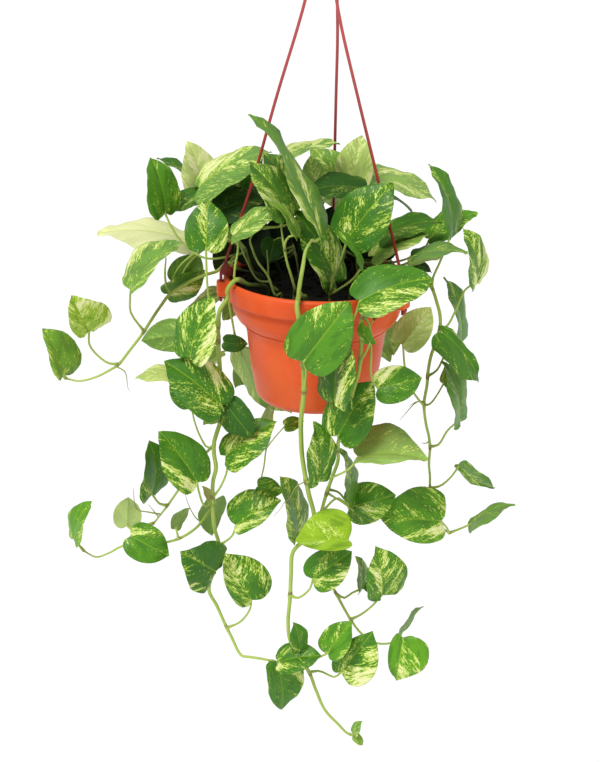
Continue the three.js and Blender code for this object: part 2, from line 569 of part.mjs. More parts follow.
// Points of the petiole from the blade to the stem's centre line.
function petioleRoute(leaf, route, away, stem) {
  const [endX, endY] = route[route.length - 1];
  const foot = nearest(stem.samples, endX, endY);
  const points = route.slice(0, -1).map(([x, y], i) => {
    const share = (i + 1) / route.length;
    return seen(x, y, away + share * (foot.y - away));
  });
  return [...points, foot];
}

function nearest(samples, px, py) {
  return samples.reduce((best, sample) => {
    const [x, y] = pixelOf(sample);
    const distance = Math.hypot(x - px, y - py);
    return distance < best.distance ? { sample, distance } : best;
  }, { sample: null, distance: Infinity }).sample;
}

// ---------------------------------------------------------------- stems
function soilZ() {
  return RIM_Z - SOIL_DEPTH;
}

// From the bottom of the stem's hole to just above the soil, then over the lip where it leaves the pot.
function startOf({ hole: [x, y], over, drop }) {
  const foot = new THREE.Vector3(x, y, soilZ() - HOLE_DEPTH + 2);
  const neck = new THREE.Vector3(x, y, soilZ() + NECK);
  if (over === null) return [foot, neck];
  const lip = [around(over, 84, RIM_Z), around(over, 97, RIM_Z + 7), around(over, 108, RIM_Z - 3)];
  if (drop) lip.push(around(over, drop, RIM_Z - 60));
  return [foot, neck, ...lip];
}

function stemFrom(spec) {
  const points = [...startOf(spec), ...spec.route.map((place) => seen(...place))];
  return stemAlong(points, spec.radius);
}

function stemAlong(points, radius) {
  const curve = smooth(points);
  const steps = Math.max(4, Math.round(curve.getLength() / STEM_STEP));
  const joints = curve.getSpacedPoints(steps);
  const samples = joints.slice(1).flatMap((joint, i) =>
    [0.2, 0.4, 0.6, 0.8, 1].map((share) => joints[i].clone().lerp(joint, share)));
  return { radius, samples, solid: solidOf(tube(curve, radius, STEM_SIDES, steps)) };
}

// ---------------------------------------------------------------- clear places for the leaves
const SHIFTS = [0, 7, -7, 14, -14, 21, -21, 28, -28, 36, -36, 44, -44, 54, -54, 66, -66];
const obstacles = [];

function addObstacle(node, kind, solid) {
  obstacles.push({ node, kind, solid, box: solid.boundingBox() });
}

function boxesMeet(a, b) {
  return [0, 1, 2].every((k) => a.min[k] <= b.max[k] && b.min[k] <= a.max[k]);
}

function isClear(solid, matters) {
  const box = solid.boundingBox();
  return obstacles.every((other) => !matters(other) || !boxesMeet(box, other.box)
    || solid.intersect(other.solid).volume() < 1e-6);
}

// The first shift that keeps a leaf clear of the other nodes, and its blade off its neighbours on the stem.
function clearLeaf(node, place) {
  const foreign = (other) => other.node !== node && other.kind !== "blade";
  const neighbour = (other) => other.node === node && other.kind === "blade";
  for (const crowded of [false, true]) {
    for (const shift of SHIFTS) {
      const leaf = place(shift);
      const free = crowded || isClear(leafSolid(leaf, CLEARANCE, false), neighbour);
      if (free && isClear(leafSolid(leaf, CLEARANCE, true), foreign)) return leaf;
    }
  }
  throw new Error(`no clear place for a leaf of ${node}`);
}

function fuseLeaves(node, stems, places) {
  const parts = stems.map((stem) => stem.solid);
  places.forEach((place) => {
    const leaf = clearLeaf(node, place);
    const whole = leafSolid(leaf, 0, true);
    addObstacle(node, "leaf", whole);
    addObstacle(node, "blade", leafSolid(leaf, 0, false));
    parts.push(whole);
  });
  return joined(parts);
}

// ---------------------------------------------------------------- hidden stems at the back
function backVine({ hole, over, length, leafCount, seed, spread = 1 }) {
  const draw = seededDraw(seed);
  const points = startOf({ hole, over });
  const sway = (draw() - 0.5) * 14;
  for (let i = 1; i <= 4; i++) {
    points.push(around(over + (sway * i) / 4, 111 - 3 * i, RIM_Z - 4 - (length * i) / 4));
  }
  const stem = stemAlong(points, 1.8);
  const places = [];
  for (let i = 0; i < leafCount; i++) {
    const share = 0.36 + (0.62 * i) / (leafCount - 1);
    const foot = stem.samples[Math.round(share * (stem.samples.length - 1))];
    const turn = (i % 2 ? 1 : -1) * (16 + 10 * draw()) * spread;
    const size = 46 + 16 * draw();
    const azimuth = over + turn;
    const rise = 6 - 22 * draw();
    const arch = 0.08 + 0.06 * draw();
    const phase = 6 * draw();
    places.push((shift) => {
      const base = around(azimuth + shift / 6, 128 + shift / 2, foot.z + rise);
      const tip = around(azimuth + shift / 6 + turn * 0.7, 132 + shift / 2, base.z - size);
      tip.add(around(azimuth + turn * 2.5, size * 0.4, 0));
      const facing = around(azimuth, 1, 0.35);
      const leaf = laidOut(base, tip, facing, FULLNESS * base.distanceTo(tip), arch, false, phase);
      leaf.petiole = [base.clone().lerp(foot, 0.5).add(new THREE.Vector3(0, 0, 7)), foot];
      return leaf;
    });
  }
  return { stems: [stem], places };
}

function backCrown({ hole, facing, leafCount, seed }) {
  const draw = seededDraw(seed);
  const top = around(facing, 18, RIM_Z + 18).add(new THREE.Vector3(hole[0], hole[1], 0));
  const stem = stemAlong([...startOf({ hole, over: null }), top], 2.5);
  const foot = stem.samples[stem.samples.length - 5];
  const places = [];
  for (let i = 0; i < leafCount; i++) {
    const azimuth = facing + ((i + 0.5) / leafCount - 0.5) * 120 + 10 * (draw() - 0.5);
    const reach = 26 + 30 * draw();
    const rise = 26 + 44 * (i % 2 ? draw() : 1 - 0.4 * draw());
    const size = 52 + 16 * draw();
    const arch = 0.1 + 0.06 * draw();
    const phase = 6 * draw();
    places.push((shift) => {
      const toward = azimuth + shift / 2;
      const base = around(toward, reach + shift / 4, 0).add(foot);
      base.z += rise + shift / 4;
      const tip = around(toward, size * 0.86, -size * 0.5).add(base);
      const normal = around(toward, 0.5, 1);
      const leaf = laidOut(base, tip, normal, FULLNESS * size, arch, false, phase);
      const bow = base.clone().lerp(foot, 0.45);
      bow.z += 10;
      leaf.petiole = [bow, foot];
      return leaf;
    });
  }
  return { stems: [stem], places };
}

// ---------------------------------------------------------------- pot, soil and hanger
function potSolid() {
  const wall = turned([...POT_OUTSIDE, ...POT_INSIDE], POT_SIDES);
  let pot = solidOf(wall.translate(0, 0, RIM_Z));
  Object.values(LUGS).forEach((azimuth) => {
    const height = LUG.top - LUG.bottom;
    const middle = RIM_Z + (LUG.top + LUG.bottom) / 2;
    const inner = RIM_RADIUS - 5;
    const lug = block(LUG.reach - inner, 2 * LUG.halfWidth, height, (LUG.reach + inner) / 2, 0, middle);
    const slotMiddle = (LUG.slotIn + LUG.slotOut) / 2;
    const slot = block(LUG.slotOut - LUG.slotIn, 2 * LUG.slotHalf, height + 8, slotMiddle, 0, middle);
    const turn = THREE.MathUtils.degToRad(azimuth);
    pot = pot.add(solidOf(lug.rotateZ(turn))).subtract(solidOf(slot.rotateZ(turn)));
  });
  return pot;
}

function soilSolid(stands) {
  let soil = solidOf(turned([...SOIL_SIDES, [0, -SOIL_DEPTH]], POT_SIDES).translate(0, 0, RIM_Z));
  stands.forEach(([x, y, radius]) => {
    const wide = (radius + HOLE_PLAY) / Math.cos(Math.PI / HOLE_SIDES);
    const hole = new THREE.CylinderGeometry(wide, wide, HOLE_DEPTH + 2, HOLE_SIDES).rotateX(Math.PI / 2);
    soil = soil.subtract(solidOf(hole.translate(x, y, soilZ() - HOLE_DEPTH / 2 + 1)));
  });
  return soil;
}

// One leg: a round rod from the hub to a fork that straddles the lip, its outer prong barbed under the lug.
function legSolid(azimuth, bends) {
  const fork = new THREE.Shape();
  const outline = [
    [96.6, 16], [99.4, 16], [103.4, 9], [104.2, 4], [104.2, LUG.bottom - GAP], [106, LUG.bottom - GAP],
    [104.2, LUG.bottom - 6], [101.6, LUG.bottom - 6], [101.6, 3.6], [100, 2.4], [93.6, 2.4], [92, 1.6],
    [91.6, -3], [90.6, -9], [88.4, -9], [88.8, 4], [91.6, 9],
  ];
  outline.forEach(([r, z], i) => fork[i ? "lineTo" : "moveTo"](r, z));
  fork.closePath();
  const strap = new THREE.ExtrudeGeometry(fork, { depth: 7, bevelEnabled: false });
  strap.translate(0, 0, -3.5).rotateX(Math.PI / 2).translate(0, 0, RIM_Z);
  strap.rotateZ(THREE.MathUtils.degToRad(azimuth));
  const rod = smooth([around(azimuth, 98, RIM_Z + 8), around(azimuth, 97.4, RIM_Z + 17),
    ...bends.map((bend) => new THREE.Vector3(...bend)), around(azimuth, 5, HUB_Z - GAP)]);
  return joined([solidOf(strap), solidOf(tube(rod, LEG_RADIUS, LEG_SIDES, LEG_STEPS))]);
}

function hookSolid() {
  const outline = [[0, 0], [9, 0], [10, 2], [9.4, 7], [5, 13], [0, 14]];
  const hub = turned(outline.map(([r, z]) => [r, HUB_Z + z]), 16);
  const r = EYE_RADIUS + HOOK_WIRE;
  const route = [[0, HUB_Z + 6], [0, HUB_Z + 20], [4, -37], [12, -29]];
  for (let angle = -15; angle <= 200; angle += 21.5) {
    const a = THREE.MathUtils.degToRad(angle);
    route.push([r * Math.cos(a), -EYE_RADIUS + r * Math.sin(a)]);
  }
  const curve = smooth(route.map(([x, z]) => new THREE.Vector3(x, 0, z)));
  return joined([solidOf(hub), solidOf(tube(curve, HOOK_WIRE, HOOK_SIDES, HOOK_STEPS))]);
}

// ---------------------------------------------------------------- assembly
const finishes = {
  pot: new THREE.MeshStandardMaterial({ color: 0xe4683c, roughness: 0.4, metalness: 0 }),
  soil: new THREE.MeshStandardMaterial({ color: 0x1c130d, roughness: 1, metalness: 0 }),
  hanger: new THREE.MeshStandardMaterial({ color: 0xa83a32, roughness: 0.45, metalness: 0 }),
  leaf: new THREE.MeshStandardMaterial({ color: 0x4f8a2e, roughness: 0.5, metalness: 0 }),
};
const plant = new THREE.Group();

function addPiece(name, solid, finish) {
  const piece = new THREE.Mesh(geometryOf(solid), finish.clone());
  piece.name = name;
  plant.add(piece);
}

const pot = potSolid();
addPiece("pot", pot, finishes.pot);
addObstacle("pot", "holder", pot);

const hook = hookSolid();
addPiece("hanger_hook", hook, finishes.hanger);
Object.entries(LUGS).forEach(([side, azimuth]) => {
  const leg = legSolid(azimuth, LEG_BENDS[side]);
  addPiece(`hanger_leg_${side}`, leg, finishes.hanger);
  addObstacle(`hanger_leg_${side}`, "holder", leg);
});

const leafy = new Map();
Object.entries(STEMS).forEach(([name, spec]) => {
  const main = stemFrom(spec);
  const branches = (spec.branches ?? []).map(({ route, radius }) => {
    const points = route.map((place) => seen(...place));
    points[0] = nearest(main.samples, route[0][0], route[0][1]).clone();
    return stemAlong(points, radius);
  });
  const stems = [main, ...branches];
  const samples = stems.flatMap((stem) => stem.samples);
  leafy.set(name, {
    stems,
    places: spec.leaves.map((row) => (shift) => placedRow(row, { samples }, shift)),
    stand: [...spec.hole, spec.radius],
  });
});
Object.entries({ ...BACK_VINES, ...BACK_CROWNS }).forEach(([name, spec]) => {
  const made = spec.over === undefined ? backCrown(spec) : backVine(spec);
  leafy.set(name, { ...made, stand: [...spec.hole, made.stems[0].radius] });
});

const soil = soilSolid([...leafy.values()].map((stem) => stem.stand));
addPiece("soil", soil, finishes.soil);
addObstacle("soil", "holder", soil);
leafy.forEach(({ stems }, name) => stems.forEach((stem) => addObstacle(name, "stem", stem.solid)));
leafy.forEach(({ stems, places }, name) => addPiece(name, fuseLeaves(name, stems, places), finishes.leaf));

export default plant;
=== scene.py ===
"""A variegated pothos in a hanging plastic pot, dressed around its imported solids.

Places are in millimetres until a mesh is made, +Z is up and +Y points away from the viewer. The origin is the
inside of the hook, where the hanger bears on whatever holds it.
"""
import math

import bmesh
import bpy
from bpy.props import FloatProperty, FloatVectorProperty, IntProperty, PointerProperty
from mathutils import Euler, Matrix, Quaternion, Vector, kdtree, noise


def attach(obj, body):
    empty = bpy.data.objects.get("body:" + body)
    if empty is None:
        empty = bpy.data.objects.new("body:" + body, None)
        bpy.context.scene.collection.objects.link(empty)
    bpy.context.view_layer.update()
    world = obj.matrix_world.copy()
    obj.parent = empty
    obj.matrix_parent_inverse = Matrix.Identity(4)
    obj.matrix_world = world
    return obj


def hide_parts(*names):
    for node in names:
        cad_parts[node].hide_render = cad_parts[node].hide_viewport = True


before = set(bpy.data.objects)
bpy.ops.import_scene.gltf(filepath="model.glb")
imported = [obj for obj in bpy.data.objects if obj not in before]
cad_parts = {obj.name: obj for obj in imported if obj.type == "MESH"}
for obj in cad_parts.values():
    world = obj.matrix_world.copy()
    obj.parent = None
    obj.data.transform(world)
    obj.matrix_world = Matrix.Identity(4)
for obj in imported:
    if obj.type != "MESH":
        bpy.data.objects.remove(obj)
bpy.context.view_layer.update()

bl_info = {
    "name": "Hanging pothos",
    "version": (1, 0, 0),
    "blender": (4, 5, 0),
    "location": "View3D > Sidebar > Pothos",
    "description": "Builds a variegated pothos in a hanging plastic pot, and a pale studio round it",
    "category": "Object",
}

# ---------------------------------------------------------------- sizes shared with the solids (mm, degrees)
MM = 0.001
RIM_Z = -412  # the pot's lip below the hook's bearing point
SOIL_DEPTH = 14
SOIL_Z = RIM_Z - SOIL_DEPTH
HOLE_DEPTH = 16  # of the soil's hole for each stem
NECK = 8  # how far each stem stands straight up from the soil
GAP = 0.4  # between neighbouring pieces
LUGS = {"left": 190, "back": 80, "right": -30}  # azimuth of each lug and leg, counted from +X
LUG_INNER, LUG_REACH, LUG_HALF, LUG_TOP, LUG_BOTTOM = 92, 107, 8, -4, -20
SLOT_IN, SLOT_OUT, SLOT_HALF = 101.2, 104.6, 4.4
HUB_Z = -62
EYE_RADIUS = 15
HOOK_WIRE = 3.2  # radius
STEM_STEP = 21  # length of a straight run in the solids' stems
PETIOLE = 1.25  # radius of a grown leaf's petiole
OVER_LIP = [(84, 0), (97, 7), (108, -3)]  # radius and height over the lip of a stem that leaves the pot
DROP = 60  # depth below the lip at which a stem's drop is measured

# Each leg's bends between its ends: LEG_FOOT as radius and height over the lip, LEG_TOP as radius at the hub.
LEG_FOOT = [(98, 8), (97.4, 17)]
LEG_TOP = 5
LEG_BENDS = {
    "left": [(-71.9, -13, -320), (-45.7, -8.1, -223), (-20.8, -3.7, -135.5)],
    "back": [(16.1, 76, -327), (15, 49.3, -234), (13.9, 27, -157), (10, 12, -105)],
    "right": [(58.2, -34.9, -301.5), (35.5, -23.2, -221.6), (15.4, -12.4, -147.3), (7.5, -5, -105)],
}
# Outlines as radius and height below the lip.
POT_OUTLINE = [
    (0, -136), (47, -136), (48, -138), (54, -138), (60, -135.5), (64, -130), (70.2, -98), (74.5, -62),
    (76, -56), (78.2, -53), (77.4, -52), (84.5, -46.5), (88.6, -39), (91, -31), (91.8, -22.6), (97.6, -22),
    (98.6, -20), (100, -7), (99.6, -2.6), (97.6, -0.4), (96, 0), (94.4, -0.8), (93, -3), (89.4, -22),
    (88.6, -31), (82, -44), (74, -54), (71.6, -66), (67.9, -98), (64.8, -119), (61.6, -128), (57, -132.6),
    (0, -133.4),
]
SOIL_OUTLINE = [(0, -133), (55, -132), (63.6, -118), (71, -66), (73, -55), (81, -44.8), (87.8, -31.2),
                (88.8, -22), (90.2, -14)]
INNER_SHADE_RADIUS = 93  # radius within which the pot's inner wall is painted near-black as shade
FORK_OUTLINE = [
    (96.6, 16), (99.4, 16), (103.4, 9), (104.2, 4), (104.2, LUG_BOTTOM - GAP), (106, LUG_BOTTOM - GAP),
    (104.2, LUG_BOTTOM - 6), (101.6, LUG_BOTTOM - 6), (101.6, 3.6), (100, 2.4), (93.6, 2.4), (92, 1.6),
    (91.6, -3), (90.6, -9), (88.4, -9), (88.8, 4), (91.6, 9),
]
FORK_WIDTH = 7
HUB_OUTLINE = [(0, 0), (9, 0), (10, 2), (9.4, 7), (5, 13), (0, 14)]
HOOK_STEM = [(0, HUB_Z + 6), (0, HUB_Z + 20), (4, -37), (12, -29)]  # x and z of the wire below the eye
HOOK_ARC = [-15 + 21.5 * i for i in range(11)]  # degrees round the eye
HOOK_END = [(1.6, 1), (0.7, 0.9), (0.2, 0.66), (0, 0.35)]  # mm before the end, share of the wire's radius

# ---------------------------------------------------------------- sizes used only here (mm, degrees)
BEVEL_ANGLE = 25  # edges sharper than this are rounded off
CORNER_SHARE = 0.42  # the most of a neighbouring run that a rounded corner may take up
LUG_ROUNDING, FORK_ROUNDING, HUB_ROUNDING = 2.4, 0.45, 1.5
SLOT_CLEAR = 4  # how far the tool that cuts a slot stands out of the lug
SOIL_SIDES, SOIL_RINGS = 72, (88, 85, *range(82, 0, -4), 0)
SOIL_RIM, SOIL_RIM_RUN = 90, 6  # radius at which the humps end, and the run over which they sink to it
CRUMB_REACH, CRUMB_SEED = 85, 77
LEG_RINGS, LEG_SIDES, HUB_SIDES, HOOK_RINGS, HOOK_SIDES = 70, 14, 48, 80, 20
FLOOR_RINGS, FLOOR_SIDES = (0, 2000, 8000, 22000), 64
KEY_LIGHT = (28, (-0.55, -0.75, 1.25))  # width, and the direction it comes from
FILL_LIGHT = (45, (0.9, -0.5, 0.9))

# ---------------------------------------------------------------- the viewing pyramid
# A place given as a pixel and a distance behind the pot's axis becomes a point in space.
FOCAL = 1420
MIDDLE = (300, 381)
PICTURE_WIDTH = 600
ROLL, PITCH = math.radians(1.3), math.radians(20.5)
VIEWER = Vector((-16, -1450, RIM_Z + 421))

# ---------------------------------------------------------------- the plant, read and listed
# Stem rows: pixel x, pixel y, mm behind the pot's axis. hole: where it stands in the soil. over: the azimuth
# at which it crosses the lip, or None for a stem that stays inside the pot. drop: its distance from the pot's
# axis where it has come down by DROP.
# Leaf rows: base x, base y, tip x, tip y, seen width (pixels), base and tip behind the axis (mm), face (1
# turned up, -1 turned down, 2 and -2 show the underside), arch, route of the petiole back to the stem, skew
# of an uneven blade, and the look: tone, cream, lighter side, paleness, painted shade.
STEMS = {
    "vine_far_left": {
        "hole": [-58, 8], "over": 172, "radius": 1.8,
        "route": [[205, 275, 8], [185, 284, 4], [170, 294, 0], [160, 307, -4], [150, 322, -6], [143, 333, -8],
            [130, 350, -8], [118, 365, -8], [110, 370, -8], [96, 377, -8], [79, 381, -8], [66, 378.5, -8]],
        "branches": [
            {"radius": 1.2,
             "route": [[171, 293, 0], [167, 287, -2], [165, 275, -8], [166, 258, -16]]},
        ],
        "leaves": [
            [131, 288, 182, 243, 28, -30, -22, 1, 0.1, [[130, 300], [131, 313], [143, 333]], 0.35,
             [0.55, 0.55, 0, 0.1, 0]],
            [89, 331, 71, 296, 42, -14, -44, 1, 0.08, [[90, 346], [108, 363], [118, 365]], -0.3,
             [0.85, 0.7, 0, 0, 0]],
            [63, 375, 42, 328, 32, -10, -4, 1, 0.1, [[65, 378]], -0.4, [0.65, 0.35, 1, 0.05, 0]],
        ],
    },
    "vine_left": {
        "hole": [-52, -34], "over": 211, "radius": 2.4,
        "route": [[228, 297, -54], [220, 310, -60], [218, 325, -62], [218, 340, -64], [219, 356, -66],
            [221, 385, -68], [223, 412, -68], [219, 426, -68], [214, 443, -68], [214, 454, -68],
            [216, 468, -68], [213, 482, -68], [213, 515, -66], [215, 530, -64], [219, 545, -62],
            [216, 565, -58], [209, 590, -60], [217, 606, -62], [225, 624, -64], [231, 636, -68],
            [241, 655, -76], [250, 657, -84], [263, 659, -94], [272, 661, -98]],
        "branches": [
            {"radius": 1.5,
             "route": [[214, 446, -68], [202, 457, -54], [190, 473, -50], [179, 489, -52], [168, 505, -56],
                 [154, 523, -62]]},
            {"radius": 1.5,
             "route": [[213, 507, -66], [198, 526, -62], [186, 535, -60], [175, 540, -58], [150, 545, -56],
                 [123, 546, -56], [109, 553, -56], [96, 557, -56], [84, 551, -56]]},
        ],
        "leaves": [
            [234, 235, 283, 214, 23, -52, -58, 1, 0.1, [[238, 245], [235, 268], [235, 280], [240, 289]], 0,
             [0.5, 0.45, 0, 0.1, 0]],
            [206, 249, 208, 200, 44, -50, -20, 1, 0.08, [[207, 280], [209, 300], [213, 320], [218, 326]], 0,
             [0.25, 0.4, 0, 0, 0]],
            [190, 357, 213, 296, 43, -92, -84, 1, 0.08, [[198, 353], [210, 347], [218, 343]], 0,
             [0.3, 0.42, 0, 0, 0]],
            [185, 335, 141, 341, 34, -40, -36, -2, 0.1, [[200, 338], [218, 336]], 0, [0.5, 0.15, 0, 0.05, 0]],
            [178, 376, 135, 379, 17, -50, -48, 1, 0.1, [[200, 381], [220, 384]], 0, [0.9, 0.5, 0, 0.4, 0]],
            [221, 405, 164, 361, 52, -92, -84, 1, 0.08, [[224, 412], [221, 420]], 0, [0.22, 0.2, -1, 0, 0]],
            [192, 402, 170, 380, 27, -66, -62, 1, 0.1, [[193, 415], [200, 436], [208, 448], [214, 446]], 0,
             [0.15, 0.3, 0, 0, 0]],
            [227, 404, 254, 437, 32, -80, -84, -1, 0.12, [[225, 408], [223, 412]], 0, [0.1, 0.05, 0, 0, 0.2]],
            [222, 415, 203, 425, 14, -54, -50, -2, 0.1, [[222, 419]], 0, [0.7, 0.4, 0, 0.1, 0]],
            [226, 456, 277, 421, 38, -92, -84, 1, 0.08, [[227, 470], [221, 486], [214, 499]], -0.2,
             [0.3, 0.25, 0, 0, 0]],
            [197, 482, 159, 431, 46, -88, -80, 1, 0.08, [[199, 492], [205, 506], [213, 503]], 0,
             [0.3, 0.1, 1, 0, 0]],
            [152, 494, 149, 440, 30, -60, -66, 1, 0.1, [[160, 504], [168, 505]], 0, [0.25, 0.03, 0, 0, 0]],
            [131, 536, 169, 556, 38, -80, -76, 1, 0.1, [[137, 528], [154, 523]], 0, [0.45, 0.03, 0, 0, 0]],
            [74, 539, 92, 501, 20, -56, -56, 1, 0.12, [[84, 551]], 0, [0.6, 0.2, 0, 0, 0]],
            [127, 526, 128, 497, 28, -34, -26, -2, 0.1, [[138, 536], [150, 545]], 0, [0.8, 0.02, 0, 0.55, 0]],
            [176, 528, 190, 508, 12, -48, -46, -2, 0.15, [[179, 538]], 0, [0.7, 0.1, 0, 0.3, 0]],
            [215, 500, 212, 536, 26, -44, -42, -2, 0.08, [[214, 496]], 0, [0.5, 0.1, 0, 0.15, 0]],
            [215, 571, 181, 552, 54, -78, -112, 1, 0.1, [[219, 566], [218, 556]], 0, [0.15, 0.2, 1, 0, 0]],
            [251, 600, 224, 553, 44, -72, -66, 1, 0.08, [[250, 609], [240, 622], [227, 627]], -0.3,
             [0.28, 0.42, 0, 0, 0]],
            [236, 525, 281, 500, 38, -70, -66, 1, 0.1, [[232, 536], [219, 544]], 0.3, [0.3, 0.35, 0, 0, 0]],
            [210, 500, 202, 486, 8, -54, -52, 1, 0.1, [[213, 503]], 0, [0.8, 0, 0, 0.7, 0]],
            [277, 662, 282, 710, 38, -102, -98, 1, 0.08, [[272, 661]], 0.25, [0.3, 0.05, 1, 0, 0]],
        ],
    },
    "vine_middle": {
        "hole": [-12, -66], "over": -101, "radius": 2.5,
        "route": [[299, 320, -112], [301, 345, -114], [303, 362, -113], [304, 390, -108], [301, 420, -104],
            [301, 437, -102], [302, 455, -100], [306, 480, -98], [309, 495, -96], [314, 515, -92],
            [312, 530, -88], [303, 541, -86], [293, 552, -86], [291, 575, -88], [290, 598, -90],
            [288, 623, -92], [290, 640, -94], [297, 655, -98], [309, 672, -100], [316, 690, -98],
            [325, 710, -96], [338, 724, -94], [347, 733, -92], [352, 735, -92]],
        "branches": [
            {"radius": 2.2,
             "route": [[297, 304, -104], [299, 290, -100], [303, 266, -94], [306, 250, -90],
                 [312, 240, -86]]},
        ],
        "leaves": [
            [321, 237, 250, 113, 19, -86, -60, 1, 0.06, [[316, 241], [311, 241]], 0, [0.5, 0, 1, 0.05, 0]],
            [304, 361, 350, 301, 62, -130, -126, 1, 0.06, [[306, 372], [304, 392]], 0, [0.45, 0.15, 0, 0, 0]],
            [360, 301, 434, 279, 48, -118, -100, 1, 0.1, [[352, 322], [335, 342], [303, 364]], 0,
             [0.3, 0.02, -1, 0, 0]],
            [319, 480, 314, 421, 30, -116, -112, 1, 0.08, [[312, 485], [307, 482]], 0, [0.3, 0.2, 0, 0, 0]],
            [359, 457, 428, 460, 40, -104, -100, 1, 0.1, [[350, 468], [338, 475], [320, 481], [307, 482]],
             0.5, [0.7, 0, 0, 0.2, 0]],
            [298, 533, 280, 476, 26, -76, -80, 1, 0.08, [[303, 541]], 0, [0.35, 0.3, 0, 0.03, 0]],
            [313, 579, 352, 551, 40, -104, -100, 1, 0.08, [[309, 590], [297, 598], [290, 596]], 0,
             [0.3, 0.1, -1, 0, 0]],
            [348, 540, 295, 541, 42, -124, -124, -1, 0.1, [[340, 546], [322, 545], [303, 541]], -0.5,
             [0.88, 0, 0, 0, 0]],
            [279, 662, 322, 656, 30, -114, -118, 1, 0.1, [[290, 658], [297, 655]], 0, [0.25, 0.05, 0, 0, 0]],
            [299, 650, 293, 622, 20, -120, -120, 1, 0.1, [[298, 654]], 0, [0.3, 0.08, 0, 0, 0]],
            [341, 672, 373, 631, 42, -98, -94, 1, 0.08, [[335, 677], [319, 671], [309, 671]], -0.3,
             [0.3, 0.22, -1, 0, 0]],
            [328, 653, 352, 621, 31, -106, -102, 1, 0.08, [[320, 657], [303, 663]], 0, [0.55, 0.12, 0, 0, 0]],
            [354, 734, 362, 721, 10, -92, -92, 1, 0.1, [[352, 735]], 0, [0.55, 0.1, 0, 0.1, 0]],
            [354, 736, 363, 745, 9, -92, -92, 1, 0.1, [[352, 735]], 0, [0.75, 0.1, 0, 0.1, 0]],
        ],
    },
    "vine_low_back": {
        "hole": [-30, 46], "over": 112, "radius": 1.4, "drop": 112,
        "route": [[276, 396, 78], [270, 425, 52], [266, 449, 36], [264, 466, 20], [262, 475, 10],
            [260, 488, 2]],
        "leaves": [
            [285, 426, 304, 421, 15, 30, 30, 1, 0.1, [[276, 436], [266, 449]], 0, [0.5, 0.3, 0, 0, 0]],
            [258, 486, 283, 492, 22, -6, -10, 1, 0.1, [[260, 488]], 0, [0.4, 0.15, 0, 0, 0]],
            [268, 430, 271, 404, 12, 60, 66, -2, 0.1, [[268, 438]], 0, [0.6, 0, 0, 0.4, 0]],
        ],
    },
    "vine_behind_left": {
        "hole": [-62, 26], "over": 152, "radius": 1.6,
        "route": [[229, 300, 50], [233, 325, 46], [236, 342, 44], [238, 356, 42]],
        "leaves": [
            [240, 352, 256, 402, 28, 30, 24, -2, 0.08, [[238, 350]], 0, [0.55, 0.1, 0, 0.35, 0]],
            [224, 342, 248, 344, 18, 10, 14, -1, 0.1, [[234, 335]], 0, [0.1, 0, 0, 0, 0.3]],
        ],
    },
    "vine_right_front": {
        "hole": [34, -36], "over": -63, "radius": 2,
        "route": [[361, 322, -108], [361, 345, -108], [359, 370, -106], [352, 395, -100], [345, 420, -96],
            [338, 444, -92], [338, 460, -90], [333, 475, -88], [328, 489, -86], [322, 510, -82],
            [320, 530, -74], [325, 560, -70], [331, 583, -72], [339, 599, -76], [345, 610, -78],
            [351, 620, -78], [361, 633, -74], [376, 643, -70], [391, 643, -68], [398, 640, -68]],
        "leaves": [
            [335, 400, 352, 320, 40, -130, -124, 1, 0.08, [[345, 404], [352, 396]], 0, [0.15, 0.3, 0, 0, 0]],
            [338, 436, 373, 381, 50, -116, -110, 1, 0.08, [[339, 442], [338, 448]], 0, [0.25, 0.28, 0, 0, 0]],
            [378, 388, 422, 378, 38, -106, -98, 1, 0.1, [[372, 380], [371, 345], [368, 322], [361, 316]], 0,
             [0.3, 0.3, 1, 0, 0]],
            [349, 508, 339, 448, 13, -100, -96, 1, 0.1, [[338, 498], [322, 511]], 0, [0.3, 0.1, 0, 0.05, 0]],
            [350, 507, 396, 495, 42, -90, -86, 1, 0.08, [[345, 500], [338, 492], [328, 490]], 0,
             [0.4, 0.3, 0, 0, 0]],
            [370, 343, 362, 321, 14, -118, -118, -1, 0.1, [[366, 352], [361, 362]], 0, [0.5, 0.15, 0, 0, 0]],
            [361, 589, 356, 556, 12, -76, -76, 1, 0.1, [[352, 593], [344, 598], [336, 594]], 0,
             [0.4, 0.35, 0, 0.1, 0]],
            [382, 595, 376, 546, 42, -84, -92, 1, 0.1, [[372, 606], [360, 615], [350, 618]], -0.2,
             [0.32, 0.32, 0, 0, 0]],
            [403, 638, 396, 680, 40, -74, -80, 1, 0.1, [[398, 640]], 0.4, [0.6, 0.22, 1, 0, 0]],
            [400, 636, 423, 606, 6, -66, -64, 1, 0.04, [[397, 640]], 0, [0.35, 0.05, 0, 0.1, 0]],
            [374, 319, 387, 306, 6, -100, -98, 1, 0.1, [[368, 328], [361, 334]], 0, [0.3, 0.05, 0, 0, 0]],
            [380, 596, 360, 584, 13, -84, -84, 1, 0.1, [[372, 606], [360, 615], [350, 618]], 0,
             [0.5, 0.1, 0, 0, 0.2]],
            [353, 510, 374, 521, 13, -84, -82, -1, 0.1, [[342, 502], [328, 492]], 0, [0.3, 0.1, 0, 0, 0.2]],
        ],
    },
    "vine_right": {
        "hole": [60, 6], "over": 4, "radius": 1.8,
        "route": [[424, 281, -2], [431, 286, -6], [434, 293, -8], [437, 303, -8], [440, 315, -8],
            [440, 328, -8], [436, 342, -8], [431, 356, -8], [428, 372, -8], [427, 385, -8], [424, 404, -10],
            [426, 424, -10], [429, 437, -10], [430, 448, -10], [429, 464, -10], [430, 477, -10],
            [430, 487, -12], [433, 505, -16], [440, 525, -20], [449, 533, -22]],
        "leaves": [
            [453, 231, 429, 164, 19, -4, 4, 1, 0.1, [[447, 245], [440, 262], [433, 278], [431, 286]], 0,
             [0.35, 0.08, 0, 0, 0]],
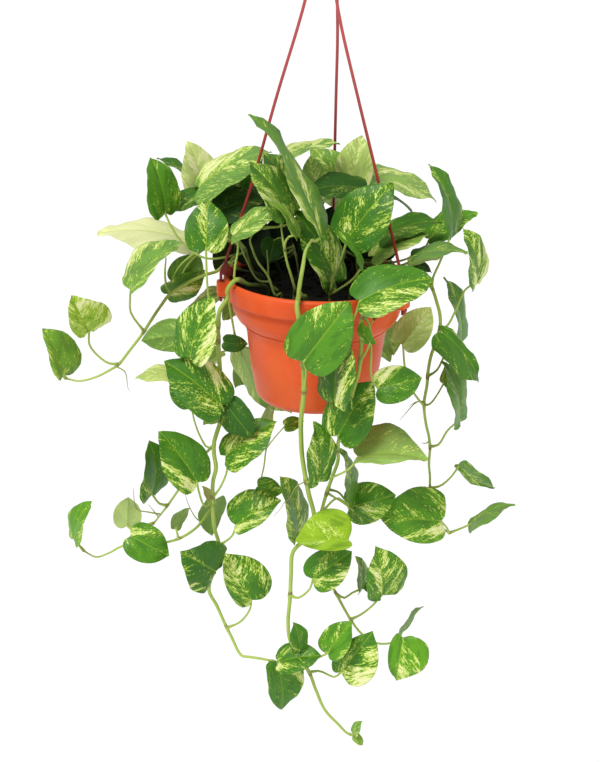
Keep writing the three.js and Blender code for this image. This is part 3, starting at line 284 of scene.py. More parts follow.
            [430, 238, 478, 213, 26, 34, 38, 1, 0.1, [[424, 252], [420, 268], [426, 281]], 0,
             [0.5, 0.2, 0, 0, 0]],
            [403, 344, 431, 307, 36, -34, -28, -2, 0.1, [[405, 368], [410, 386], [418, 399], [424, 404]], 0,
             [0.95, 0.5, 0, 0.35, 0]],
            [441, 332, 479, 382, 26, -20, -24, 1, 0.1, [[440, 329]], -0.5, [0.35, 0.25, 0, 0, 0]],
            [461, 341, 443, 277, 15, 6, 8, 1, 0.1, [[447, 352], [437, 370], [428, 375]], 0,
             [0.4, 0.08, 0, 0, 0]],
            [477, 283, 463, 228, 22, -8, -10, 1, 0.12, [[466, 289], [455, 312], [447, 326], [440, 329]], 0,
             [0.3, 0.6, -1, 0, 0]],
            [460, 420, 441, 361, 20, -20, -16, 1, 0.1, [[448, 430], [438, 445], [430, 448]], 0,
             [0.45, 0.05, 0, 0.05, 0]],
            [444, 383, 460, 362, 14, 10, 12, 1, 0.1, [[437, 395], [430, 404], [424, 404]], 0,
             [0.45, 0.15, 0, 0, 0]],
            [459, 466, 495, 488, 14, -20, -22, -1, 0.1, [[450, 478], [440, 486], [431, 488]], 0.5,
             [0.4, 0.3, 0, 0.05, 0]],
            [471, 524, 515, 504, 14, -26, -28, 1, 0.1, [[462, 528], [449, 533]], -0.5,
             [0.45, 0.12, 0, 0.1, 0]],
            [441, 521, 378, 516, 56, -50, -66, 1, 0.08, [[447, 528], [449, 533]], -0.16,
             [0.5, 0.35, 0, 0, 0]],
        ],
    },
    "crown_front_left": {
        "hole": [-24, -50], "over": None, "radius": 1.5,
        "route": [[295, 290, -60], [291, 275, -62], [287, 262, -62], [284, 246, -60], [281, 226, -54]],
        "leaves": [
            [287, 214, 248, 162, 34, -48, -40, 1, 0.1, [[283, 220], [281, 227]], 0, [0.3, 0.35, 0, 0.05, 0]],
            [297, 236, 272, 201, 11, -62, -56, 1, 0.1, [[290, 236], [285, 243], [284, 250]], 0,
             [0.75, 0.2, 0, 0.1, 0]],
            [274, 240, 269, 262, 24, -30, -38, -1, 0.1, [[281, 238], [284, 248]], 0, [0.1, 0, 0, 0, 0.5]],
        ],
    },
    "crown_middle": {
        "hole": [-38, -52], "over": None, "radius": 1.4,
        "route": [[276, 296, -56], [268, 276, -52], [258, 262, -48], [252, 248, -44], [250, 240, -42],
            [254, 233, -38], [263, 228, -34]],
        "branches": [
            {"radius": 1.2,
             "route": [[275, 294, -56], [270, 283, -50], [268, 264, -44], [267, 250, -38]]},
            {"radius": 1.2,
             "route": [[270, 281, -53], [258, 280, -44], [246, 259, -34], [241, 248, -28]]},
        ],
        "leaves": [
            [297, 207, 262, 152, 36, -26, -20, 1, 0.1, [[288, 224], [263, 228]], 0,
             [0.25, 0.2, 0, 0.05, 0.1]],
            [282, 158, 340, 144, 13, 12, 18, 1, 0.08, [[278, 180], [268, 212], [263, 228]], 0,
             [0.45, 0.6, 0, 0.1, 0]],
        ],
    },
    "crown_front_right": {
        "hole": [13, -55], "over": None, "radius": 1.9,
        "route": [[331, 296, -60], [331, 286, -64]],
        "leaves": [
            [335, 281, 292, 210, 37, -70, -66, 1, 0.08, [[332, 286], [331, 289]], 0, [0.25, 0.4, 0, 0, 0]],
            [347, 240, 393, 183, 54, -52, -44, 1, 0.08, [[340, 262], [332, 282], [331, 292]], 0,
             [0.2, 0.3, 0, 0, 0]],
            [362, 267, 333, 231, 9, -60, -64, 1, 0.1, [[352, 280], [331, 294]], 0, [0.4, 0, 0, 0, 0]],
        ],
    },
    "crown_back": {
        "hole": [12, 34], "over": None, "radius": 1.7,
        "route": [[328, 256, 34], [330, 236, 36]],
        "leaves": [
            [345, 182, 310, 150, 36, 56, 62, 1, 0.1, [[342, 210], [330, 236]], 0, [0.6, 0.4, 0, 0.1, 0]],
            [352, 185, 362, 135, 38, 40, 44, 1, 0.1, [[342, 214], [330, 238]], 0, [0.85, 0.7, 0, 0.3, 0]],
            [316, 186, 310, 156, 24, 48, 52, 1, 0.1, [[322, 215], [330, 238]], 0, [0.7, 0.5, 0, 0.15, 0]],
            [364, 189, 305, 193, 26, 4, -4, 1, 0.1, [[352, 212], [330, 244]], 0, [0.1, 0.05, 0, 0, 0.45]],
        ],
    },
    "crown_right": {
        "hole": [44, -6], "over": None, "radius": 1.6,
        "route": [[357, 262, -4], [359, 246, -4]],
        "leaves": [
            [370, 178, 437, 202, 23, 30, 36, 1, 0.1, [[366, 205], [359, 246]], 0, [0.65, 0.4, 0, 0.2, 0]],
            [374, 257, 431, 235, 22, -38, -32, 1, 0.1, [[368, 268], [357, 264]], 0, [0.7, 0.45, 0, 0.1, 0]],
            [382, 238, 442, 222, 23, 2, 6, 1, 0.1, [[380, 248], [359, 250]], 0, [0.3, 0.15, 0, 0, 0.2]],
            [415, 256, 468, 253, 14, -16, -18, 1, 0.1, [[395, 262], [357, 262]], 0, [0.35, 0.1, 0, 0.1, 0]],
            [410, 262, 443, 258, 12, -26, -26, -2, 0.1, [[392, 268], [357, 264]], 0, [0.7, 0.3, 0, 0.25, 0]],
            [412, 263, 432, 273, 9, -10, -8, 1, 0.1, [[392, 266], [357, 262]], 0, [0.1, 0, 0, 0, 0.5]],
        ],
    },
    "crown_left": {
        "hole": [-58, -12], "over": None, "radius": 1.5,
        "route": [[252, 268, -10], [246, 250, -10]],
        "leaves": [
            [199, 187, 272, 152, 34, -12, -16, 1, 0.1, [[214, 206], [234, 236], [247, 254]], -0.3,
             [0.5, 0.3, 1, 0.1, 0]],
            [165, 213, 150, 157, 34, -2, 2, 1, 0.1, [[171, 226], [181, 241], [205, 258], [246, 254]], 0,
             [0.45, 0.15, 0, 0, 0]],
            [204, 198, 187, 141, 38, 60, 64, 1, 0.1, [[212, 225], [246, 250]], 0, [0.95, 0.6, 0, 0.5, 0]],
            [206, 194, 168, 213, 19, 40, 36, 1, 0.1, [[225, 222], [246, 250]], 0, [0.2, 0.02, 0, 0, 0.25]],
            [208, 199, 157, 158, 11, 26, 22, 1, 0.1, [[222, 226], [246, 252]], 0, [0.2, 0.02, 0, 0, 0.05]],
            [216, 212, 264, 200, 34, 8, 4, 1, 0.1, [[232, 234], [246, 250]], 0, [0.1, 0.05, 0, 0, 0.6]],
        ],
    },
    "crown_far_left": {
        "hole": [-40, 30], "over": None, "radius": 1.6,
        "route": [[268, 252, 32], [260, 232, 34]],
        "leaves": [
            [186, 240, 97, 234, 30, 66, 54, 1, 0.08, [[210, 236], [260, 236]], 0.3, [0.9, 0.95, 0, 1, 0]],
            [178, 283, 200, 255, 34, 20, 26, -2, 0.1, [[190, 262], [220, 240], [260, 236]], 0,
             [0.45, 0.3, 0, 0, 0.15]],
            [168, 294, 205, 270, 26, 8, 14, -1, 0.1, [[180, 266], [214, 244], [264, 240]], 0,
             [0.4, 0.3, 0, 0, 0.15]],
            [240, 182, 262, 148, 28, 36, 40, 1, 0.1, [[248, 205], [260, 232]], 0, [0.4, 0.3, 0, 0, 0.2]],
            [226, 266, 218, 218, 30, 30, 42, 1, 0.1, [[238, 258], [262, 240]], 0, [0.1, 0.03, 0, 0, 0.75]],
            [262, 200, 208, 190, 26, 50, 44, 1, 0.1, [[264, 216], [260, 234]], 0, [0.1, 0.05, 0, 0, 0.6]],
        ],
    },
    # This tuft and the next hold near-black leaves that stand in for the deep shade inside the pot behind the
    # crown: painted shade.
    "crown_inner_left": {
        "hole": [-20, 12], "over": None, "radius": 1.4,
        "route": [[297, 262, 24], [293, 244, 34]],
        "leaves": [
            [300, 262, 305, 210, 36, 52, 64, 1, 0.1, [[297, 255]], 0, [0.1, 0, 0, 0, 0.94]],
            [275, 264, 284, 212, 36, 56, 68, 1, 0.1, [[286, 260], [295, 253]], 0, [0.1, 0, 0, 0, 0.94]],
            [250, 262, 262, 214, 36, 58, 70, 1, 0.1, [[272, 262], [293, 249]], 0, [0.1, 0, 0, 0, 0.94]],
            [236, 254, 238, 214, 32, 50, 60, 1, 0.1, [[262, 257], [293, 248]], 0, [0.1, 0, 0, 0, 0.9]],
        ],
    },
    "crown_inner_right": {
        "hole": [24, 8], "over": None, "radius": 1.4,
        "route": [[343, 262, 20], [346, 246, 30]],
        "leaves": [
            [326, 262, 332, 206, 38, 50, 62, 1, 0.1, [[336, 262], [344, 254]], 0, [0.1, 0, 0, 0, 0.92]],
            [352, 262, 356, 218, 36, 54, 66, 1, 0.1, [[347, 256]], 0, [0.1, 0, 0, 0, 0.94]],
            [381, 259, 375, 226, 34, 44, 56, 1, 0.1, [[364, 260], [345, 250]], 0, [0.1, 0, 0, 0, 0.9]],
        ],
    },
}

# Stems at the back, out of the viewer's sight: hole, azimuth over the lip, hanging length, count of leaves,
# seed, and how far the leaves spread.
BACK_VINES = {
    "vine_back_left": ((-44, 50), 132, 150, 5, 3),
    "vine_back_middle": ((4, 64), 97, 125, 4, 9),
    "vine_back_right": ((38, 54), 66, 110, 4, 17, 0.3),
}
# Tufts at the back: hole, azimuth that they face, count of leaves, seed.
BACK_CROWNS = {
    "crown_back_left": ((-22, 58), 118, 5, 23),
    "crown_back_right": ((26, 56), 62, 5, 31),
}
# Aerial roots, stubs and threads: piece, radius where it starts, and its route in pixels.
ROOTS = [
    ("vine_far_left", 0.9, [(118, 366), (125, 372), (128, 388), (130, 391)]),
    ("vine_middle", 0.8, [(303, 480), (296, 487), (290, 498), (284, 503), (281, 508), (274, 516)]),
    ("vine_right", 0.9, [(424, 400), (417, 402), (400, 420)]),
    ("vine_right", 0.8, [(424, 400), (416, 402), (409, 406)]),
    ("vine_right", 0.9, [(431, 441), (427, 443), (421, 443)]),
    ("vine_left", 1.0, [(160, 515), (148, 512), (137, 509), (133, 488)]),
    ("vine_left", 0.8, [(150, 511), (148, 504)]),
    ("vine_left", 0.8, [(204, 523), (196, 518), (190, 508), (186, 497), (185, 490)]),
]


# ---------------------------------------------------------------- lines and places
def around(azimuth, radius, z):
    """The place at an azimuth and radius from the pot's axis."""
    angle = math.radians(azimuth)
    return Vector((radius * math.cos(angle), radius * math.sin(angle), z))


def seen(px, py, away):
    """The place seen at a pixel, away mm behind the pot's axis."""
    x, y = px - MIDDLE[0], py - MIDDLE[1]
    right = (x * math.cos(ROLL) + y * math.sin(ROLL)) / FOCAL
    down = (y * math.cos(ROLL) - x * math.sin(ROLL)) / FOCAL
    ray = Vector((right, math.cos(PITCH) - down * math.sin(PITCH), -math.sin(PITCH) - down * math.cos(PITCH)))
    return VIEWER + ray * ((away - VIEWER.y) / ray.y)


def pixel_of(point):
    d = point - VIEWER
    ahead = d.y * math.cos(PITCH) - d.z * math.sin(PITCH)
    right = d.x / ahead * FOCAL
    down = -(d.y * math.sin(PITCH) + d.z * math.cos(PITCH)) / ahead * FOCAL
    return (MIDDLE[0] + right * math.cos(ROLL) - down * math.sin(ROLL),
            MIDDLE[1] + right * math.sin(ROLL) + down * math.cos(ROLL))


def seeded_draw(seed):
    """Draws from 0 to 1 that come in the same order for the same seed."""
    factor, modulus, state = 16807, 2147483647, seed

    def draw():
        nonlocal state
        state = state * factor % modulus
        return state / modulus

    return draw


def mixed(a, b, share):
    return a + (b - a) * share


def bell(distance, width):
    return math.exp(-(distance / width) ** 2)


class Course:
    """A smooth line through points, measured by length along it."""

    RUNS = 200

    def __init__(self, points):
        self.points = [Vector(p) for p in points]
        walk = [self.point(i / self.RUNS) for i in range(self.RUNS + 1)]
        self.lengths = [0.0]
        for a, b in zip(walk, walk[1:]):
            self.lengths.append(self.lengths[-1] + (b - a).length)
        self.length = self.lengths[-1]

    def point(self, t):
        points, last = self.points, len(self.points) - 1
        low = min(int(last * t), last - 1)
        t = last * t - low
        p1, p2 = points[low], points[low + 1]
        p0 = points[low - 1] if low else 2 * p1 - p2
        p3 = points[low + 2] if low + 2 <= last else 2 * p2 - p1
        d0, d1, d2 = ((b - a).length_squared ** 0.25 for a, b in ((p0, p1), (p1, p2), (p2, p3)))
        start = ((p1 - p0) / d0 - (p2 - p0) / (d0 + d1) + (p2 - p1) / d1) * d1
        end = ((p2 - p1) / d1 - (p3 - p1) / (d1 + d2) + (p3 - p2) / d2) * d1
        return (p1 + start * t + (3 * (p2 - p1) - 2 * start - end) * t * t
                + (2 * (p1 - p2) + start + end) * t ** 3)

    def at(self, share):
        """The point at a share of the length."""
        target = share * self.length
        low, high = 0, self.RUNS
        while high - low > 1:
            middle = (low + high) // 2
            low, high = (middle, high) if self.lengths[middle] <= target else (low, middle)
        step = self.lengths[high] - self.lengths[low]
        return self.point((low + (target - self.lengths[low]) / step) / self.RUNS)

    def spaced(self, steps):
        return [self.at(i / steps) for i in range(steps + 1)]


# ---------------------------------------------------------------- meshes
def make_piece(name, points, faces, materials, finishes=None, marks=None):
    """A mesh object from points in millimetres, with named colour attributes from marks."""
    mesh = bpy.data.meshes.new(name)
    mesh.from_pydata([p * MM for p in points], [], faces)
    for material in materials:
        mesh.materials.append(material)
    if finishes:
        mesh.polygons.foreach_set("material_index", finishes)
    for label, values in (marks or {}).items():
        attribute = mesh.attributes.new(label, "FLOAT_COLOR", "POINT")
        attribute.data.foreach_set("color", [x for value in values for x in (*value, 1.0)])
    mesh.shade_smooth()
    piece = bpy.data.objects.new(name, mesh)
    bpy.context.scene.collection.objects.link(piece)
    return piece


def show(piece, node):
    """Puts a finished piece in the place of its solid."""
    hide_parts(node)
    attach(piece, "root")


def combine(piece, others, operation):
    """Joins other objects to a piece, or cuts them out of it, and takes them off the scene."""
    for other in others:
        modifier = piece.modifiers.new(other.name, "BOOLEAN")
        modifier.operation, modifier.object, modifier.solver = operation, other, "EXACT"
    graph = bpy.context.evaluated_depsgraph_get()
    whole = bpy.data.meshes.new_from_object(piece.evaluated_get(graph))
    piece.modifiers.clear()
    piece.data = whole
    for other in others:
        bpy.data.objects.remove(other)


def crease(piece, degrees):
    """Shades a piece smooth, but for its edges that are sharper than an angle."""
    piece.data.shade_smooth()
    piece.data.set_sharp_from_angle(angle=math.radians(degrees))


def soften_edges(piece, width):
    """Bevels the sharp edges of a piece and keeps its flat faces flat in the shading."""
    work, limit = bmesh.new(), math.radians(BEVEL_ANGLE)
    work.from_mesh(piece.data)
    sharp = [edge for edge in work.edges if edge.is_manifold and edge.calc_face_angle() > limit]
    bmesh.ops.bevel(work, geom=sharp, offset=width * MM, segments=3, profile=0.5, affect="EDGES",
                    clamp_overlap=True)
    work.to_mesh(piece.data)
    work.free()
    crease(piece, 40)


def softened(corners, radius, steps=3):
    """The same outline with its corners rounded off."""
    line = [Vector(corners[0])]
    for before, corner, after in zip(corners, corners[1:], corners[2:]):
        before, corner, after = Vector(before), Vector(corner), Vector(after)
        cut = min(radius, CORNER_SHARE * (before - corner).length, CORNER_SHARE * (after - corner).length)
        start = corner + (before - corner).normalized() * cut
        end = corner + (after - corner).normalized() * cut
        for k in range(steps + 1):
            t = k / steps
            line.append(start * (1 - t) ** 2 + corner * 2 * t * (1 - t) + end * t * t)
    return line + [Vector(corners[-1])]


def turned(outline, sides):
    """Points and faces of a closed outline of radius and height, turned about Z."""
    points, faces, rings = [], [], []
    for radius, z in outline:
        if radius < 1e-6:
            points.append(Vector((0, 0, z)))
            rings.append([len(points) - 1] * sides)
        else:
            rings.append(list(range(len(points), len(points) + sides)))
            points += [around(360 * i / sides, radius, z) for i in range(sides)]
    for low, high in zip(rings, rings[1:]):
        for i in range(sides):
            j = (i + 1) % sides
            faces.append(list(dict.fromkeys([low[i], low[j], high[j], high[i]])))
    return points, faces


def tube(centres, radii, sides, first_side=None):
    """Points and faces of a closed tube along centres, turned without twist."""
    points, faces = [], []
    heading = (centres[1] - centres[0]).normalized()
    side = (first_side or heading.orthogonal()).copy()
    last = len(centres) - 1
    for i, (centre, radius) in enumerate(zip(centres, radii)):
        onward = (centres[min(i + 1, last)] - centres[max(i - 1, 0)]).normalized()
        side.rotate(heading.rotation_difference(onward))
        side = (side - onward * side.dot(onward)).normalized()
        heading = onward
        up = heading.cross(side)
        points += [centre + (side * math.cos(a) + up * math.sin(a)) * radius
                   for a in (2 * math.pi * k / sides for k in range(sides))]
    for i in range(last):
        for k in range(sides):
            j = (k + 1) % sides
            faces.append([i * sides + k, i * sides + j, (i + 1) * sides + j, (i + 1) * sides + k])
    faces.append(list(range(sides))[::-1])
    faces.append(list(range(last * sides, (last + 1) * sides)))
    return points, faces


# ---------------------------------------------------------------- shader wiring
class Wiring:
    """Adds nodes to a shader tree and joins them up."""

    ACROSS, DOWN, PER_ROW = 190, 170, 9  # how the nodes are laid out in the editor

    def __init__(self, tree):
        self.tree = tree

    def add(self, kind, values=None, **settings):
        """One node: values maps its sockets to numbers or colours, or to the sockets that feed them."""
        made = self.tree.nodes.new(kind)
        row, column = divmod(len(self.tree.nodes), self.PER_ROW)
        made.location = (self.ACROSS * column, -self.DOWN * row)
        for label, value in settings.items():
            setattr(made, label, value)
        for socket, value in (values or {}).items():
            if isinstance(value, bpy.types.NodeSocket):
                self.tree.links.new(value, made.inputs[socket])
            else:
                made.inputs[socket].default_value = value
        return made

    def sum(self, operation, a, b=0.0, c=0.0):
        return self.add("ShaderNodeMath", {0: a, 1: b, 2: c}, operation=operation).outputs[0]

    def weighted(self, start, *terms):
        """A number or socket plus each term's socket times its weight."""
        for socket, weight in terms:
            start = self.sum("MULTIPLY_ADD", socket, weight, start)
        return start

    def step(self, value, low, high):
        """0 below low, 1 above high, smooth between."""
        return self.add("ShaderNodeMapRange", {"Value": value, "From Min": low, "From Max": high},
                        interpolation_type="SMOOTHSTEP").outputs["Result"]

    def blend(self, share, a, b):
        """A colour between a and b."""
        return self.add("ShaderNodeMix", {0: share, 6: a, 7: b}, data_type="RGBA").outputs[2]

    def veiled(self, colour, *veils):
        """A colour under others, each with the mask that shows it and its strength."""
        for mask, strength, veil in veils:
            colour = self.blend(self.sum("MULTIPLY", mask, strength), colour, veil)
        return colour

    def grain(self, place, scale, detail=3.0, roughness=0.55):
        return self.add("ShaderNodeTexNoise", {"Vector": place, "Scale": scale, "Detail": detail,
                                               "Roughness": roughness}).outputs["Fac"]

    def apart(self, vector):
        return list(self.add("ShaderNodeSeparateXYZ", {0: vector}).outputs)

    def together(self, x, y, z):
        return self.add("ShaderNodeCombineXYZ", {0: x, 1: y, 2: z}).outputs[0]


SOCKETS = {"Color": "NodeSocketColor", "Vector": "NodeSocketVector", "Float": "NodeSocketFloat"}


def start_group(name, inputs, outputs):
    """A new node group: its wiring and its input sockets by name."""
    tree = bpy.data.node_groups.new(name, "ShaderNodeTree")
    for label, kind in inputs.items():
        tree.interface.new_socket(label, in_out="INPUT", socket_type=SOCKETS[kind])
    for label, kind in outputs.items():
        tree.interface.new_socket(label, in_out="OUTPUT", socket_type=SOCKETS[kind])
    wiring = Wiring(tree)
    return wiring, wiring.add("NodeGroupInput").outputs


SURFACE = {"Color": "Color", "Roughness": "Float", "Height": "Float"}


# Marks of the marbling: how close together they lie along the veins and across them, and their detail.
ZONES, WEDGES, LINES, FLECKS = (2.1, 1.1, 0.0), (7.5, 1.9, 1.0), (24.0, 6.5, 1.0), (56.0, 21.0, 0.0)


def leaf_marbling():
    """Greens and cream of a variegated leaf, in streaks that follow its side veins.

    Place holds along, across and underside; Look tone, cream and lighter side; Extra seed, paleness, painted
    shade.
    """
    w, given = start_group("Leaf Marbling", {
        "Place": "Vector", "Look": "Vector", "Extra": "Vector", "Deep Green": "Color", "Leaf Green": "Color",
        "Young Green": "Color", "Light Patch": "Color", "Cream": "Color", "Underside": "Color",
        "Shade": "Color"}, SURFACE)
    deep, young, patch = given["Deep Green"], given["Young Green"], given["Light Patch"]
    x, y, under = w.apart(given["Place"])
    tone, cream, side = w.apart(given["Look"])
    seed, pale, gloomy = w.apart(given["Extra"])
    out = w.sum("ABSOLUTE", y)
    lead = w.weighted(0.0, (out, VEIN_LEAN), (w.sum("MULTIPLY", out, out), VEIN_CURVE))
    vein = w.sum("SUBTRACT", x, lead)
    layer = w.weighted(0.0, (w.sum("SIGN", y), 3.7), (seed, 40.0))

    def spots(along, across, detail):
        place = w.together(w.sum("MULTIPLY", vein, along), w.sum("MULTIPLY", out, across), layer)
        return w.sum("SUBTRACT", w.grain(place, 1.0, detail, 0.6), 0.5)

    zones, wedges, lines, flecks = (spots(*mark) for mark in (ZONES, WEDGES, LINES, FLECKS))
    level = w.weighted(0.0, (cream, 0.8), (wedges, 1.6), (zones, 1.3), (flecks, 0.8), (lines, 0.95),
                       (w.sum("MULTIPLY", side, y), 0.4))
    halo, light_patch, core = w.step(level, 0.2, 0.5), w.step(level, 0.44, 0.56), w.step(level, 0.62, 0.86)
    speckle = w.step(w.weighted(0.0, (cream, 0.4), (lines, 1.1), (zones, 1.1), (flecks, 1.4)), 0.38, 0.5)
    cloud = w.step(w.grain(w.together(vein, out, layer), 3.4, 2.0, 0.5), 0.42, 0.66)
    rib = w.step(out, 0.05, 0.0)
    between = w.sum("ABSOLUTE", w.sum("SUBTRACT", w.sum("FRACT", w.sum("MULTIPLY", vein, float(VEINS))), 0.5))
    side_vein = w.sum("MULTIPLY", w.step(between, 0.07, 0.0), w.step(out, 0.98, 0.5))
    margin = w.step(out, 0.94, 1.0)
    # the last veil is painted shade: leaves deep in the plant darkened towards near-black
    colour = w.veiled(
        deep, (tone, 1.6, given["Leaf Green"]), (w.step(tone, 0.55, 1.0), 1.0, young), (cloud, 0.45, deep),
        (halo, 0.3, young), (speckle, 0.6, patch), (light_patch, 0.8, patch), (core, 0.85, given["Cream"]),
        (pale, 0.85, given["Cream"]), (rib, 0.42, young), (side_vein, 0.1, young), (margin, 0.15, patch),
        (under, 0.4, given["Underside"]), (gloomy, 1.0, given["Shade"]))
    skin = w.grain(w.together(w.sum("MULTIPLY", x, 2.0), y, layer), 60.0, 2.0, 0.6)
    rough = w.weighted(0.34, (skin, 0.12), (light_patch, 0.06), (under, 0.18), (gloomy, 0.4))
    height = w.weighted(0.0, (side_vein, -0.7), (skin, 0.35), (light_patch, 0.1))
    w.add("NodeGroupOutput", {"Color": colour, "Roughness": rough, "Height": height})
    return w.tree


def stem_skin():
    """Green skin of stems and petioles: Stalk is how brown, how young, and how much painted shade darkens a
    place.
    """
    w, given = start_group("Stem Skin", {
        "Place": "Vector", "Stalk": "Vector", "Old Green": "Color", "Young Green": "Color", "Bark": "Color",
        "Shade": "Color"}, SURFACE)
    brown, young, gloomy = w.apart(given["Stalk"])
    x, y, z = w.apart(given["Place"])
    fibres = w.grain(w.together(x, y, w.sum("MULTIPLY", z, 0.2)), 900.0, 3.0)
    cloud = w.grain(given["Place"], 60.0, 3.0)
    scars = w.sum("MULTIPLY", brown, w.step(w.weighted(fibres, (brown, 0.5)), 0.45, 0.8))
    old = given["Old Green"]
    # the last veil is painted shade, strongest low down inside the pot
    colour = w.veiled(old, (young, 1.0, given["Young Green"]), (w.step(cloud, 0.4, 0.7), 0.35, old),
                      (scars, 1.0, given["Bark"]), (gloomy, 1.0, given["Shade"]))
    rough = w.weighted(0.38, (cloud, 0.15), (scars, 0.3))
    w.add("NodeGroupOutput", {"Color": colour, "Roughness": rough, "Height": fibres})
    return w.tree


def moulded_plastic():
    """Moulded plastic that has stood outdoors: faded in clouds, scuffed, with painted shade that darkens its
    inner wall near the lip.
    """
    w, given = start_group("Moulded Plastic", {
        "Place": "Vector", "Fresh": "Color", "Faded": "Color", "Fading": "Float", "Painted Inner Shade": "Color"}, SURFACE)
    x, y, z = w.apart(given["Place"])
    cloud = w.grain(given["Place"], 16.0, 4.0, 0.6)
    flow = w.grain(w.together(x, y, w.sum("MULTIPLY", z, 0.12)), 120.0, 3.0)
    scuff = w.step(w.grain(w.together(x, y, w.sum("MULTIPLY", z, 6.0)), 90.0, 6.0, 0.7), 0.6, 0.72)
    peel = w.grain(given["Place"], 1400.0, 2.0)
    fade = w.sum("MULTIPLY", given["Fading"], w.weighted(w.step(cloud, 0.35, 0.7), (flow, 0.35)))
    radius = w.sum("SQRT", w.weighted(w.sum("MULTIPLY", y, y), (x, x)))
    # painted shade: the inner wall near the lip is veiled in near-black
    inside = w.sum("MULTIPLY", w.step(radius, INNER_SHADE_RADIUS * MM, (INNER_SHADE_RADIUS - 1) * MM),
                   w.step(z, (RIM_Z - 22) * MM, (RIM_Z - 20) * MM))
    colour = w.veiled(given["Fresh"], (fade, 1.0, given["Faded"]), (scuff, 0.16, given["Faded"]),
                      (inside, 0.96, given["Painted Inner Shade"]))
    rough = w.weighted(0.33, (scuff, 0.12), (cloud, 0.14))
    height = w.weighted(0.0, (scuff, -0.25), (peel, 0.3))
    w.add("NodeGroupOutput", {"Color": colour, "Roughness": rough, "Height": height})
    return w.tree


def potting_soil():
    """Moist dark compost with paler fibres and crumbs, darkened further to near-black as painted shade."""
    w, given = start_group("Potting Soil", {"Place": "Vector", "Wet": "Color", "Dry": "Color"}, SURFACE)
    clods = w.grain(given["Place"], 90.0, 6.0, 0.7)
    cells = w.add("ShaderNodeTexVoronoi", {"Vector": given["Place"], "Scale": 420.0}).outputs["Distance"]
    colour = w.veiled(given["Wet"], (w.step(clods, 0.35, 0.75), 1.0, given["Dry"]),
                      (w.step(cells, 0.35, 0.75), 1.0, given["Wet"]))
    w.add("NodeGroupOutput", {"Color": colour, "Roughness": w.weighted(0.65, (clods, 0.3)),
                              "Height": w.weighted(clods, (cells, 0.5))})
    return w.tree


def finish_material(name, tree, inputs, relief, specular):
    """A material whose Principled BSDF takes its colour, roughness and bump from one node group.

    inputs makes the group's input values from the material's wiring; relief is the bump's strength and mm.
    """
    material = bpy.data.materials.new(name)
    material.use_nodes = True
    material.node_tree.nodes.clear()
    w = Wiring(material.node_tree)
    surface = w.add("ShaderNodeGroup", inputs(w), node_tree=tree)
    bump = w.add("ShaderNodeBump", {"Height": surface.outputs["Height"], "Strength": relief[0],
                                    "Distance": relief[1] * MM})
    shader = w.add("ShaderNodeBsdfPrincipled", {
        "Base Color": surface.outputs["Color"], "Roughness": surface.outputs["Roughness"],
        "Normal": bump.outputs["Normal"], "Specular IOR Level": specular})
    w.add("ShaderNodeOutputMaterial", {"Surface": shader.outputs[0]})
    return material


def attribute(w, name):
    return w.add("ShaderNodeAttribute", attribute_name=name).outputs["Vector"]


def own_place(w):
    return w.add("ShaderNodeTexCoord").outputs["Object"]


# ---------------------------------------------------------------- leaves
# Margin and midrib of one half of the blade, from the notch to the tip: shares of the length and half width.
# A station is a row of these tables, or a place between two rows.
MARGIN = [(0, 0), (-0.06, 0.2), (-0.08, 0.46), (-0.02, 0.76), (0.13, 0.95), (0.35, 1), (0.56, 0.9),
          (0.76, 0.63), (0.9, 0.3), (1, 0)]
MIDRIB = [(0,), (0.01,), (0.04,), (0.1,), (0.2,), (0.34,), (0.5,), (0.68,), (0.84,), (1,)]
COLUMNS = [0, 0.05, 0.15, 0.32, 0.52, 0.72, 0.88, 0.97]  # from the midrib to just inside the margin
FULLNESS = 0.78  # width over length of a flat blade
FOLD = 0.2  # rise of each half over its width
RECURVE = 0.16  # drop of the margin over the half width
FIRST_ROW, LAST_ROW = 0.1, 8.94  # stations of the rows of corners next to the notch and the tip
ROW_COUNTS = ((30, 14), (56, 20), (math.inf, 27))  # rows along a blade that is shorter than a length
WAVE, WAVE_TURN = 0.07, 1.9  # long waves of the margin over the half width, and their turn at each station
RIPPLE, RIPPLE_TURN = 0.022, 5.3  # the same for its short waves
QUILT, QUILT_SHARE = 0.5, 0.016  # most height of the quilting, and its height over the half width
GROOVE, RIB = 0.5, 0.75  # depth of the groove over the midrib, and height of the rib under it
PETIOLE_SIZES = ((24, 0.62), (34, 0.85), (math.inf, 1))  # share of PETIOLE for a blade shorter than a length
PETIOLE_SIDES, STEM_SIDES, ROOT_SIDES = 9, 12, 6
STEM_RING, ROOT_RING = 3.2, 2  # length between rings of corners
VEINS = 7  # side veins along each half, in the mesh and in the colours
VEIN_LEAN, VEIN_CURVE = 0.35, 0.25  # a side vein's run towards the tip on its way out: straight part, curve
# Shifts along the line of sight that the solids' leaves were given, in the order in which they were tried.
SHIFTS = [0, 7, -7, 14, -14, 21, -21, 28, -28, 36, -36, 44, -44, 54, -54, 66, -66]
SOLID_BLADE = 0.8  # thickness of the solids' blades
MATCH = 0.6  # mm between a leaf's tip here and in its solid


